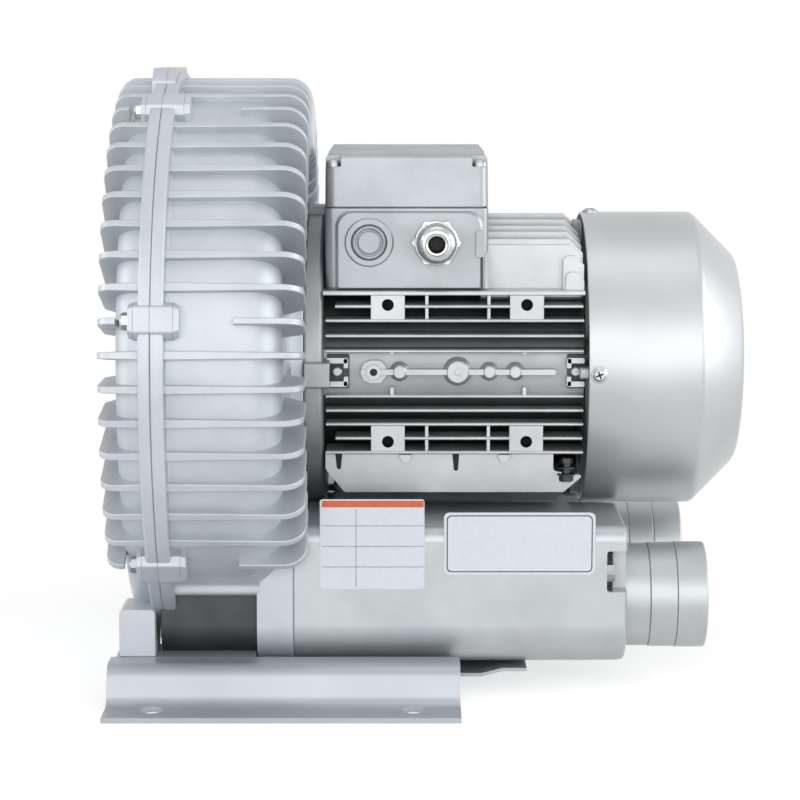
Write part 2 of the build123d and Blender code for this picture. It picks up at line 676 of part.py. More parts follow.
# ---- silencers with their hose spigots ----------------------------------------------------
CASE_WALL = 4
POCKET_X0 = 182
POCKET_Z0 = 59
POCKET_Z1 = 84
POCKET_D = 15
INSERT_GAP = 0.2


def silencer(side):
    y = side * PORT_Y
    mid_z = (DUCT_Z0 + DUCT_Z1) / 2
    pocket_y = side * (PORT_Y + DUCT_W / 2 - POCKET_D / 2)
    with BuildPart() as case:
        with BuildSketch(Plane.YZ.offset(SILENCER_X0)):
            with Locations((y, mid_z)):
                RectangleRounded(DUCT_W, DUCT_Z1 - DUCT_Z0, DUCT_R)
        extrude(amount=SILENCER_X1 - SILENCER_X0)
        with BuildSketch(Plane.YZ.offset(SILENCER_X0)):
            with Locations((y, mid_z)):
                Rectangle(DUCT_W - 2 * CASE_WALL - 8, DUCT_Z1 - DUCT_Z0 - 2 * CASE_WALL - 8)
        extrude(amount=POCKET_X0 - SILENCER_X0 - CASE_WALL, mode=Mode.SUBTRACT)
        with BuildSketch(Plane.YZ.offset(SILENCER_X1)):
            with Locations((y, PORT_Z)):
                Circle(SPIGOT_R)
        extrude(amount=SPIGOT_X1 - SILENCER_X1)
        with BuildSketch(Plane.YZ.offset(SPIGOT_X1)):
            with Locations((y, PORT_Z)):
                Circle(SPIGOT_BORE_R)
        extrude(amount=-(SPIGOT_X1 - POCKET_X0 + CASE_WALL + 1), mode=Mode.SUBTRACT)
        with BuildSketch(Plane.YZ.offset(POCKET_X0)):
            with Locations((pocket_y, (POCKET_Z0 + POCKET_Z1) / 2)):
                Rectangle(POCKET_D, POCKET_Z1 - POCKET_Z0)
        extrude(amount=SILENCER_X1 - POCKET_X0, mode=Mode.SUBTRACT)
    return case.part


def silencer_foam(side):
    with BuildPart() as foam:
        with BuildSketch(Plane.YZ.offset(SILENCER_X0 + INSERT_GAP)):
            with Locations((side * PORT_Y, (DUCT_Z0 + DUCT_Z1) / 2)):
                Rectangle(
                    DUCT_W - 2 * CASE_WALL - 8 - 2 * INSERT_GAP,
                    DUCT_Z1 - DUCT_Z0 - 2 * CASE_WALL - 8 - 2 * INSERT_GAP,
                )
            with Locations((side * PORT_Y, PORT_Z)):
                Circle(SPIGOT_BORE_R, mode=Mode.SUBTRACT)
        extrude(amount=POCKET_X0 - SILENCER_X0 - CASE_WALL - 2 * INSERT_GAP)
    return foam.part


save(silencer(-1), "front_silencer")
save(silencer(1), "rear_silencer")
save(silencer_foam(-1), "front_silencer_foam")
save(silencer_foam(1), "rear_silencer_foam")

with BuildPart() as silencer_screws:
    with BuildSketch(Plane.YZ.offset(POCKET_X0)):
        with GridLocations(2 * (PORT_Y + DUCT_W / 2 - POCKET_D / 2), 0, 2, 1):
            with Locations((0, (POCKET_Z0 + POCKET_Z1) / 2)):
                RegularPolygon(5.5, 6)
    extrude(amount=5)
save(silencer_screws.part, "silencer_screws")

# ---- base: two foot rails and a cross plate -----------------------------------------------
RAIL_T = 3
RAIL_TIP_Y = 170
RAIL_FOOT_Y = 134
RAIL_TOP_Y0 = 128


def foot_rail(side):
    with BuildPart() as rail:
        with BuildSketch(Plane.YZ.offset(-RAIL_X)):
            with BuildLine():
                Polyline(
                    (side * RAIL_TIP_Y, 0),
                    (side * (RAIL_FOOT_Y - 2), 0),
                    (side * (RAIL_TOP_Y0 - 2), RAIL_TOP - RAIL_T),
                    (side * (DUCT_SIDE_Y + 0.5), RAIL_TOP - RAIL_T),
                    (side * (DUCT_SIDE_Y + 0.5), RAIL_TOP),
                    (side * (RAIL_TOP_Y0 + 1), RAIL_TOP),
                    (side * (RAIL_FOOT_Y + 1), RAIL_T),
                    (side * RAIL_TIP_Y, RAIL_T),
                    close=True,
                )
            make_face()
        extrude(amount=2 * RAIL_X)
        with BuildSketch(Plane.XY.offset(RAIL_TOP - RAIL_T)):
            with Locations(((LEG_X0 + LEG_X1) / 2, side * 100)):
                Rectangle(LEG_X1 - LEG_X0 + 4, 34)
        extrude(amount=RAIL_T)
        with BuildSketch(Plane.XY):
            with Locations((0, side * FOOT_PITCH_Y / 2)):
                with GridLocations(FOOT_PITCH_X, 0, 2, 1):
                    Circle(FOOT_HOLE_R)
        extrude(amount=RAIL_T, mode=Mode.SUBTRACT)
    return rail.part


save(foot_rail(-1), "front_foot_rail")
save(foot_rail(1), "rear_foot_rail")

# ---- cross plate under the silencers ------------------------------------------------------
PLATE_Z = 9
PLATE_T = 2
PLATE_Y = 100
PLATE_X0 = -50
PLATE_BEND_X0 = 112
PLATE_BEND_X1 = 124
PLATE_X1 = 138

with BuildPart() as cross_plate:
    with BuildSketch(Plane.XZ.offset(-PLATE_Y)):
        with BuildLine():
            Polyline(
                (PLATE_X0, PLATE_Z),
                (PLATE_BEND_X0, PLATE_Z),
                (PLATE_BEND_X1, DUCT_Z0 - PLATE_T),
                (PLATE_X1, DUCT_Z0 - PLATE_T),
                (PLATE_X1, DUCT_Z0),
                (PLATE_BEND_X1, DUCT_Z0),
                (PLATE_BEND_X0, PLATE_Z + PLATE_T),
                (PLATE_X0, PLATE_Z + PLATE_T),
                close=True,
            )
        make_face()
    extrude(amount=2 * PLATE_Y)
    # Wings up to the foot rails.
    for side in (1, -1):
        with BuildSketch(Plane.YZ.offset(PLATE_X0)):
            with BuildLine():
                Polyline(
                    (side * (PLATE_Y - 2), PLATE_Z),
                    (side * PLATE_Y, PLATE_Z),
                    (side * (DUCT_SIDE_Y + 5), RAIL_TOP - RAIL_T - PLATE_T),
                    (side * (RAIL_TOP_Y0 - 3), RAIL_TOP - RAIL_T - PLATE_T),
                    (side * (RAIL_TOP_Y0 - 3), RAIL_TOP - RAIL_T),
                    (side * (DUCT_SIDE_Y + 4), RAIL_TOP - RAIL_T),
                    (side * (PLATE_Y - 2), PLATE_Z + PLATE_T),
                    close=True,
                )
            make_face()
        extrude(amount=RAIL_X - PLATE_X0 - 4)
save(cross_plate.part, "cross_plate")

# ---- fasteners ----------------------------------------------------------------------------
with BuildPart() as leg_screws:
    with BuildSketch(Plane.XY.offset(RAIL_TOP - RAIL_T)):
        with Locations(((LEG_X0 + LEG_X1) / 2, 0)):
            with GridLocations(0, LEG_Y0 + LEG_Y1, 1, 2):
                RegularPolygon(7.5, 6)
    extrude(amount=-5.3)
save(leg_screws.part, "leg_screws")

SCREW_R = SHIELD_LUG_Y - 5

with BuildPart() as shield_screws:
    with BuildSketch(across(MOTOR_X0)):
        with Locations((-SCREW_R, 0), (SCREW_R, 0), (0, -SCREW_R)):
            RegularPolygon(5, 6)
    extrude(amount=4)
save(shield_screws.part, "shield_screws")

with BuildPart() as cowl_screws:
    for angle in (0, 90, 180):
        a = radians(angle)
        face = Plane(
            origin=(COWL_X0 + 6, -COWL_R * cos(a), AXIS_Z + COWL_R * sin(a)),
            z_dir=(0, -cos(a), sin(a)),
        )
        with BuildSketch(face):
            RegularPolygon(4.5, 8)
    extrude(amount=2.4)
save(cowl_screws.part, "cowl_screws")

with BuildPart() as earth_screw:
    with BuildSketch(Plane.XZ.offset(MOTOR_SIDE_Y - 4)):
        with Locations((158, AXIS_Z - 60)):
            RegularPolygon(5, 6)
    extrude(amount=4)
save(earth_screw.part, "earth_screw")
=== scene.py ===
"""Looks of a side channel blower: castings, motor, cowl, silencers and rails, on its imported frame."""

import math

import bpy
import bmesh
from mathutils import Matrix, Vector


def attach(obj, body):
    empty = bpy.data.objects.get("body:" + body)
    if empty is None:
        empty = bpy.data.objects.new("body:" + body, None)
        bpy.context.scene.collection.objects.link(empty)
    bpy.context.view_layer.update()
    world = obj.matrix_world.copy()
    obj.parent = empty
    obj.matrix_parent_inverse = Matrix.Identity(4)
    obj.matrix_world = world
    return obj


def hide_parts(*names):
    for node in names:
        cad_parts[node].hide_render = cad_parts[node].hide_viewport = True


bl_info = {
    "name": "Side channel blower",
    "version": (1, 0, 0),
    "blender": (4, 5, 0),
    "location": "View3D > Sidebar > Blower",
    "description": "Builds the visible pieces of a side channel blower round its fixed frame",
    "category": "Object",
}

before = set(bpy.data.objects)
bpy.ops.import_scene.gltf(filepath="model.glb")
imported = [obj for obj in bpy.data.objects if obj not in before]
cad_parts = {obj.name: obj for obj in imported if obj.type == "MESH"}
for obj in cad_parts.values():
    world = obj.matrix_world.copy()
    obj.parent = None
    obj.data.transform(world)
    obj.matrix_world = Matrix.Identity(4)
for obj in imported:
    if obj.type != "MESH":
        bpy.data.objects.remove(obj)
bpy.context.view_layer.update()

MM = 0.001
# Driving sizes, in millimetres; +X runs from the cover to the cowl and -Y is the near side.
AXIS_Z = 182.0      # motor axis above the floor
FIN_COUNT = 56
LUG_COUNT = 7
LUG_ANGLE = 13.5    # of the first clamp lug above the near horizontal, degrees
LUG_R = 170.0
BOSS_R = 171.0
HEAD_R = 163.0      # drum of the head
WALL_R = 158.5      # inside the drum's wall: what is cast onto the drum ends there
FIN_R = 167.0
FIN_ROOT_R = 108.0
FLANGE_R = 171.0
JOINT_X = -69.5     # joint between cover and housing
HEAD_SIDES = 224
DUCT_SIDE = 45.0    # half width of a duct
DUCT_LOW, DUCT_HIGH = 16.5, 99.0
PORT_Y = 70.0
PORT_Z = 51.0
SPIGOT_R = 27.0     # bore of a hose spigot
SHEET = 3.0         # steel of the foot rails
RAIL_TOP = 24.4
LEG_X0, LEG_X1, LEG_TOP = -94.0, -73.6, 51.6
LEG_Y = 100.0       # middle of a leg


# ---- mesh helpers: every outline is in millimetres ----------------------------------------
def put(name, bm, material, body="root", replaces=(), smooth=35.0, bevel=None):
    """Turns a bmesh in millimetres into a piece in metres that rides on a body."""
    bmesh.ops.scale(bm, vec=(MM, MM, MM), verts=bm.verts)
    mesh = bpy.data.meshes.new(name)
    bm.to_mesh(mesh)
    bm.free()
    piece = bpy.data.objects.new(name, mesh)
    bpy.context.scene.collection.objects.link(piece)
    materials = material if isinstance(material, (list, tuple)) else [material]
    for each in materials:
        mesh.materials.append(each)
    for face in mesh.polygons:
        face.use_smooth = True
    mesh.set_sharp_from_angle(angle=math.radians(smooth))
    if bevel:
        edge = piece.modifiers.new("edge", "BEVEL")
        edge.width = bevel * MM
        edge.segments = 2
        edge.limit_method = "ANGLE"
        edge.angle_limit = math.radians(smooth)
        weighted = piece.modifiers.new("normals", "WEIGHTED_NORMAL")
        weighted.keep_sharp = True
    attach(piece, body)
    if replaces:
        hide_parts(*replaces)
    return piece


def soften(piece, width):
    """Rounds the sharp edges of sheet metal."""
    edge = piece.modifiers.new("edge", "BEVEL")
    edge.width = width * MM
    edge.segments = 2
    edge.limit_method = "ANGLE"
    edge.angle_limit = math.radians(50)


def prism(bm, outline, place, depth, taper=1.0, material=0):
    """Closed prism: outline points (u, v), place(u, v, w) gives a point, w runs from 0 to depth."""
    middle_u = sum(p[0] for p in outline) / len(outline)
    middle_v = sum(p[1] for p in outline) / len(outline)
    low = [bm.verts.new(place(u, v, 0)) for u, v in outline]
    high = [
        bm.verts.new(place(middle_u + (u - middle_u) * taper, middle_v + (v - middle_v) * taper, depth))
        for u, v in outline
    ]
    faces = [bm.faces.new(low[::-1]), bm.faces.new(high)]
    count = len(outline)
    for i in range(count):
        j = (i + 1) % count
        faces.append(bm.faces.new((low[i], low[j], high[j], high[i])))
    for face in faces:
        face.material_index = material
    return faces


def loft(bm, rings, material=0, loop=False):
    """Skin through rings of points, each with as many points as the next; its ends are closed, or
    joined to each other in a loop."""
    rows = [[bm.verts.new(p) for p in ring] for ring in rings]
    count = len(rows[0])
    faces = []
    pairs = list(zip(rows, rows[1:]))
    if loop:
        pairs.append((rows[-1], rows[0]))
    for a, b in pairs:
        for i in range(count):
            j = (i + 1) % count
            faces.append(bm.faces.new((a[i], a[j], b[j], b[i])))
    if not loop:
        faces.append(bm.faces.new(rows[0][::-1]))
        faces.append(bm.faces.new(rows[-1]))
    for face in faces:
        face.material_index = material
    return faces


def on_axis(x, angle, radius):
    """Point at a radius from the motor axis; the angle rises from the near horizontal to the top."""
    a = math.radians(angle)
    return Vector((x, -radius * math.cos(a), AXIS_Z + radius * math.sin(a)))


def lathe(bm, profile, sides=96, place=on_axis):
    """Revolves a closed profile of (x, radius) points; place puts a point at x, angle and radius."""
    loft(bm, [[place(x, 360.0 * k / sides, r) for x, r in profile] for k in range(sides)], loop=True)


def arc(cx, cy, radius, a0, a1, count=6):
    """Points of an arc, angles in degrees."""
    return [
        (cx + radius * math.cos(math.radians(a0 + (a1 - a0) * k / count)),
         cy + radius * math.sin(math.radians(a0 + (a1 - a0) * k / count)))
        for k in range(count + 1)
    ]


def rounded(points, radii, count=5):
    """Closed outline with an arc at each corner; radii is one number or one for each corner."""
    out = []
    total = len(points)
    for i, p in enumerate(points):
        radius = radii[i] if isinstance(radii, (list, tuple)) else radii
        if radius <= 0:
            out.append(tuple(p))
            continue
        here = Vector(p)
        back = (Vector(points[i - 1]) - here).normalized()
        ahead = (Vector(points[(i + 1) % total]) - here).normalized()
        half = back.angle(ahead) / 2
        reach = min(radius / math.tan(half), 0.49 * min(
            (Vector(points[i - 1]) - here).length, (Vector(points[(i + 1) % total]) - here).length))
        bend = reach * math.tan(half)
        centre = here + (back + ahead).normalized() * (bend / math.sin(half))
        start = here + back * reach - centre
        end = here + ahead * reach - centre
        turn = start.angle_signed(end)
        for k in range(count + 1):
            step = Matrix.Rotation(-turn * k / count, 2) @ start
            out.append(tuple(centre + step))
    return out


def box_outline(u0, v0, u1, v1, radius, count=5):
    """Rectangle with rounded corners."""
    return rounded([(u0, v0), (u1, v0), (u1, v1), (u0, v1)], radius, count)


def toward_front(y):
    """Placer for outlines in x and z that grow towards -Y from the plane y."""
    return lambda u, v, w: Vector((u, y - w, v))


def level(outline):
    """The same outline with its second coordinate measured from the height of the motor axis."""
    return [(u, AXIS_Z + v) for u, v in outline]


def mirrored(side, outline):
    """The outline's first coordinate on the near (-1) or the far (1) side."""
    return [(side * u, v) for u, v in outline]


def upward(z):
    """Placer for outlines in x and y that grow upwards from the height z."""
    return lambda u, v, w: Vector((u, v, z + w))


def along_x(x):
    """Placer for outlines in y and z that grow along +X from x."""
    return lambda u, v, w: Vector((x + w, u, v))


def disc(bm, place, radius, depth, sides=32, chamfer=0.0, material=0):
    """Round boss with a chamfered end, on a placer."""
    def ring(r, w):
        return [place(r * math.cos(2 * math.pi * k / sides), r * math.sin(2 * math.pi * k / sides), w)
                for k in range(sides)]
    rings = [ring(radius, 0), ring(radius, depth - chamfer)]
    if chamfer:
        rings.append(ring(radius - chamfer, depth))
    return loft(bm, rings, material=material)


def shifted(place, du, dv, turn=0.0):
    """The same placer with its origin moved in the plane and turned."""
    c, s = math.cos(turn), math.sin(turn)
    return lambda u, v, w: place(du + c * u - s * v, dv + s * u + c * v, w)


def pierced(bm, outline, holes, place, depth):
    """Plate of that outline with blind round holes (u, v, radius, depth) in its outer face; the
    faces in the holes take the second material."""
    low = [bm.verts.new(place(u, v, 0)) for u, v in outline]
    high = [bm.verts.new(place(u, v, depth)) for u, v in outline]
    count = len(outline)
    bm.faces.new(low[::-1])
    for i in range(count):
        j = (i + 1) % count
        bm.faces.new((low[i], low[j], high[j], high[i]))
    edges = [bm.edges.get((high[i], high[(i + 1) % count])) for i in range(count)]
    sides = 24
    within = []
    for u0, v0, radius, sink in holes:
        rim = [(u0 + radius * math.cos(2 * math.pi * k / sides),
                v0 + radius * math.sin(2 * math.pi * k / sides)) for k in range(sides)]
        top = [bm.verts.new(place(u, v, depth)) for u, v in rim]
        bottom = [bm.verts.new(place(u, v, depth - sink)) for u, v in rim]
        for i in range(sides):
            j = (i + 1) % sides
            within.append(bm.faces.new((top[i], top[j], bottom[j], bottom[i])))
            edges.append(bm.edges.get((top[i], top[j])))
        within.append(bm.faces.new(bottom))
    bmesh.ops.triangle_fill(bm, edges=edges, use_beauty=True, use_dissolve=False)
    for face in within:
        face.material_index = 1


def carve(piece, bm, crossing=False):
    """Cuts a closed shape, in millimetres, out of a piece; crossing says that the piece is made
    of shells that pass through one another."""
    recalc(bm)
    bmesh.ops.scale(bm, vec=(MM, MM, MM), verts=bm.verts)
    mesh = bpy.data.meshes.new("tool")
    bm.to_mesh(mesh)
    bm.free()
    tool = bpy.data.objects.new("tool", mesh)
    bpy.context.scene.collection.objects.link(tool)
    kept = [(m, m.show_viewport) for m in piece.modifiers]
    for modifier, _ in kept:
        modifier.show_viewport = False
    cut = piece.modifiers.new("cut", "BOOLEAN")
    cut.object = tool
    cut.operation = "DIFFERENCE"
    cut.use_self = crossing
    result = bpy.data.meshes.new_from_object(piece.evaluated_get(bpy.context.evaluated_depsgraph_get()))
    piece.modifiers.remove(cut)
    result.name = piece.name
    piece.data = result
    for modifier, shown in kept:
        modifier.show_viewport = shown
    bpy.data.objects.remove(tool)
    bpy.data.meshes.remove(mesh)


def hexagon(radius, turn=0.0):
    """Hexagon of that radius over its corners."""
    return [(radius * math.cos(turn + math.pi * k / 3), radius * math.sin(turn + math.pi * k / 3))
            for k in range(6)]


def hex_head(bm, place, radius, depth):
    """Hexagon head: its corners are turned off to a circle at the outer end."""
    prism(bm, hexagon(radius), place, depth * 0.75)
    disc(bm, lambda u, v, w: place(u, v, depth * 0.7 + w), radius * 0.88, depth * 0.3, 24,
         depth * 0.12)


def recalc(bm):
    """Turns the faces of closed shapes outwards."""
    bmesh.ops.recalc_face_normals(bm, faces=bm.faces)
    return bm


# ---- materials ----------------------------------------------------------------------------
def colour(code):
    """sRGB hex to the linear colour that the shaders use."""
    parts = [int(code[i:i + 2], 16) / 255 for i in (1, 3, 5)]
    return tuple(c / 12.92 if c <= 0.04045 else ((c + 0.055) / 1.055) ** 2.4 for c in parts) + (1.0,)


def per_mm(size):
    """Texture scale for a feature of that size in millimetres, on coordinates in metres."""
    return 1.0 / (size * MM)


def add(tree, kind, settings=None, **inputs):
    """Adds a node with its settings; an input is a value or another node's socket."""
    node = tree.nodes.new(kind)
    for key, value in (settings or {}).items():
        setattr(node, key, value)
    for key, value in inputs.items():
        target = node.inputs[key.replace("__", " ")]
        if isinstance(value, bpy.types.NodeSocket):
            tree.links.new(value, target)
        else:
            target.default_value = value
    return node


def new_material(name, base, metallic, roughness, **sockets):
    """A material with a Principled shader and its uniform numbers set on the shader's own sockets."""
    material = bpy.data.materials.new(name)
    material.use_nodes = True
    tree = material.node_tree
    shader = tree.nodes["Principled BSDF"]
    shader.inputs["Base Color"].default_value = base
    shader.inputs["Metallic"].default_value = metallic
    shader.inputs["Roughness"].default_value = roughness
    for key, value in sockets.items():
        shader.inputs[key.replace("__", " ")].default_value = value
    material.diffuse_color = base
    return material, tree, shader


def ramp(tree, source, stops):
    """Colour ramp through stops of position and colour."""
    node = add(tree, "ShaderNodeValToRGB", Fac=source)
    elements = node.color_ramp.elements
    while len(elements) < len(stops):
        elements.new(0.5)
    for element, (position, value) in zip(elements, stops):
        element.position = position
        element.color = value
    return node.outputs["Color"]


def spread(tree, source, low, high):
    """Maps 0…1 onto a narrower range of numbers."""
    node = add(tree, "ShaderNodeMapRange", Value=source)
    node.inputs["To Min"].default_value = low
    node.inputs["To Max"].default_value = high
    return node.outputs["Result"]


def place_of(tree, stretch=(1.0, 1.0, 1.0)):
    """Object coordinates, stretched for grain that runs one way."""
    where = add(tree, "ShaderNodeTexCoord").outputs["Object"]
    return add(tree, "ShaderNodeMapping", Vector=where, Scale=stretch).outputs["Vector"]


def bump(tree, shader, height, distance_mm, strength):
    """Relief of that depth on the shader's normal."""
    node = add(tree, "ShaderNodeBump", Height=height, Strength=strength, Distance=distance_mm * MM)
    tree.links.new(node.outputs["Normal"], shader.inputs["Normal"])


def from_axis(tree, inner_mm, outer_mm):
    """0 within the inner and 1 beyond the outer distance from the motor axis."""
    where = add(tree, "ShaderNodeTexCoord").outputs["Object"]
    flat = add(tree, "ShaderNodeMapping", Vector=where, Location=(0, 0, -AXIS_Z * MM), Scale=(0, 1, 1))
    reach = add(tree, "ShaderNodeVectorMath", {"operation": "LENGTH"}, Vector=flat.outputs["Vector"])
    node = add(tree, "ShaderNodeMapRange", {"interpolation_type": "SMOOTHSTEP"},
               Value=reach.outputs["Value"])
    node.inputs["From Min"].default_value = inner_mm * MM
    node.inputs["From Max"].default_value = outer_mm * MM
    return node.outputs["Result"]


def paint_on_casting(name, code, dark_code, grain_mm, roughness, metallic=0.75, depth=0.05,
                     painted_shade_radii=None):
    """Silver-grey stove paint over an as-cast aluminium skin: soft sheen, faint orange peel, a
    little darker in random patches where the paint lies thin. The optional two distances from
    the motor axis, in millimetres, add painted shade down between the fins: between them the
    colour darkens towards the axis, to a tenth within the inner one."""
    material, tree, shader = new_material(name, colour(code), metallic, roughness,
                                          Coat__Weight=0.12, Coat__Roughness=0.28)
    where = place_of(tree)
    cloud = add(tree, "ShaderNodeTexNoise", Vector=where, Scale=per_mm(45), Detail=4.0, Roughness=0.6)
    skin = add(tree, "ShaderNodeTexNoise", Vector=where, Scale=per_mm(grain_mm), Detail=3.0,
               Roughness=0.55)
    pits = add(tree, "ShaderNodeTexVoronoi", Vector=where, Scale=per_mm(grain_mm * 2.4))
    tint = ramp(tree, cloud.outputs["Fac"], [(0.32, colour(dark_code)), (0.62, colour(code))])
    # Painted shade: the colour is scaled down towards the motor axis, darkest in the deep gaps between
    # the fins.
    if painted_shade_radii:
        painted_shade_factor = spread(tree, from_axis(tree, *painted_shade_radii), 0.1, 1.0)
        tint = add(tree, "ShaderNodeVectorMath", {"operation": "SCALE"}, Vector=tint,
                   Scale=painted_shade_factor).outputs["Vector"]
    tree.links.new(tint, shader.inputs["Base Color"])
    tree.links.new(spread(tree, skin.outputs["Fac"], roughness - 0.07, roughness + 0.09),
                   shader.inputs["Roughness"])
    mixed = add(tree, "ShaderNodeMath", {"operation": "MULTIPLY_ADD"})
    tree.links.new(pits.outputs["Distance"], mixed.inputs[0])
    mixed.inputs[1].default_value = 0.35
    tree.links.new(skin.outputs["Fac"], mixed.inputs[2])
    bump(tree, shader, mixed.outputs["Value"], depth * 2, 0.35)
    return material


def lacquer_on_sheet(name, code, dark_code, roughness, metallic=0.75):
    """Silver lacquer with aluminium flake on pressed steel sheet: smooth, with long soft
    highlights and a very fine sparkle from the flake."""
    material, tree, shader = new_material(name, colour(code), metallic, roughness,
                                          Coat__Weight=0.25, Coat__Roughness=0.2)
    where = place_of(tree)
    # Flake is about 0.03 mm across; drawn at 0.5 mm so that it shows.
    flake = add(tree, "ShaderNodeTexNoise", Vector=where, Scale=per_mm(0.5), Detail=2.0)
    cloud = add(tree, "ShaderNodeTexNoise", Vector=where, Scale=per_mm(70), Detail=3.0)
    both = add(tree, "ShaderNodeMath", {"operation": "MULTIPLY_ADD"})
    tree.links.new(flake.outputs["Fac"], both.inputs[0])
    both.inputs[1].default_value = 0.3
    tree.links.new(cloud.outputs["Fac"], both.inputs[2])
    tint = ramp(tree, both.outputs["Value"], [(0.4, colour(dark_code)), (0.9, colour(code))])
    tree.links.new(tint, shader.inputs["Base Color"])
    tree.links.new(spread(tree, flake.outputs["Fac"], roughness - 0.05, roughness + 0.07),
                   shader.inputs["Roughness"])
    peel = add(tree, "ShaderNodeTexNoise", Vector=where, Scale=per_mm(2.2), Detail=1.0)
    bump(tree, shader, peel.outputs["Fac"], 0.03, 0.25)
    return material


def plated_metal(name, code, dark_code, roughness, grain_mm=0.6, stretch=(1.0, 1.0, 1.0)):
    """Plated or turned metal: mirror-like with fine tool marks that blur it one way."""
    material, tree, shader = new_material(name, colour(code), 1.0, roughness)
    where = place_of(tree, stretch)
    marks = add(tree, "ShaderNodeTexNoise", Vector=where, Scale=per_mm(grain_mm), Detail=3.0)
    stain = add(tree, "ShaderNodeTexNoise", Vector=where, Scale=per_mm(9), Detail=3.0)
    tint = ramp(tree, stain.outputs["Fac"], [(0.35, colour(dark_code)), (0.6, colour(code))])
    tree.links.new(tint, shader.inputs["Base Color"])
    tree.links.new(spread(tree, marks.outputs["Fac"], roughness * 0.7, roughness * 1.4),
                   shader.inputs["Roughness"])
    bump(tree, shader, marks.outputs["Fac"], 0.02, 0.3)
    return material


def moulded_plastic(name, code, dark_code, roughness, grain_mm=0.5):
    """Moulded plastic or rubber with the fine spark-eroded grain of its mould."""
    material, tree, shader = new_material(name, colour(code), 0.0, roughness, IOR=1.5)
    where = place_of(tree)
    grain = add(tree, "ShaderNodeTexNoise", Vector=where, Scale=per_mm(grain_mm), Detail=2.0)
    tint = ramp(tree, grain.outputs["Fac"], [(0.3, colour(dark_code)), (0.7, colour(code))])
    tree.links.new(tint, shader.inputs["Base Color"])
    tree.links.new(spread(tree, grain.outputs["Fac"], roughness - 0.08, roughness + 0.08),
                   shader.inputs["Roughness"])
    bump(tree, shader, grain.outputs["Fac"], 0.04, 0.4)
    return material


def wound_wire(name, code, dark_code):
    """Enamelled copper wire, 0.8 mm thick, wound round the slots: glossy amber ridges."""
    material, tree, shader = new_material(name, colour(code), 0.75, 0.28, Coat__Weight=0.5)
    where = place_of(tree)
    wire = add(tree, "ShaderNodeTexWave", Vector=where, Scale=per_mm(0.8) / 20, Distortion=1.5,
               Detail=1.0)
    tint = ramp(tree, wire.outputs["Fac"], [(0.2, colour(dark_code)), (0.7, colour(code))])
    tree.links.new(tint, shader.inputs["Base Color"])
    bump(tree, shader, wire.outputs["Fac"], 0.4, 0.6)
    return material


def stacked_laminations(name, code, dark_code):
    """Stator and rotor iron, 0.5 mm electrical steel sheets stacked along the shaft: dull grey
    with hair lines round it. Lines are drawn 1.5 mm apart so that they show."""
    material, tree, shader = new_material(name, colour(code), 0.9, 0.5)
    where = place_of(tree)
    sheets = add(tree, "ShaderNodeTexWave", {"bands_direction": "X"}, Vector=where,
                 Scale=per_mm(1.5) / 20, Distortion=0.2)
    tint = ramp(tree, sheets.outputs["Fac"], [(0.1, colour(dark_code)), (0.4, colour(code))])
    tree.links.new(tint, shader.inputs["Base Color"])
    bump(tree, shader, sheets.outputs["Fac"], 0.1, 0.5)
    return material


def open_foam(name, code, dark_code):
    """Reticulated polyurethane foam, 1.5 mm cells: matt charcoal full of pores."""
    material, tree, shader = new_material(name, colour(code), 0.0, 0.95, Sheen__Weight=0.2)
    where = place_of(tree)
    cells = add(tree, "ShaderNodeTexVoronoi", Vector=where, Scale=per_mm(1.5))
    tint = ramp(tree, cells.outputs["Distance"], [(0.1, colour(dark_code)), (0.6, colour(code))])
    tree.links.new(tint, shader.inputs["Base Color"])
    bump(tree, shader, cells.outputs["Distance"], 1.0, 0.9)
    return material


def printed_film(name, code, dark_code):
    """Self-adhesive polyester label film: flat colour with a satin overlaminate."""
    material, tree, shader = new_material(name, colour(code), 0.0, 0.32, IOR=1.52)
    where = place_of(tree)
    web = add(tree, "ShaderNodeTexNoise", Vector=where, Scale=per_mm(3), Detail=4.0)
    tint = ramp(tree, web.outputs["Fac"], [(0.25, colour(dark_code)), (0.6, colour(code))])
    tree.links.new(tint, shader.inputs["Base Color"])
    tree.links.new(spread(tree, web.outputs["Fac"], 0.27, 0.4), shader.inputs["Roughness"])
    bump(tree, shader, web.outputs["Fac"], 0.02, 0.2)
    return material


finishes = {}  # by name; filled before the pieces are made


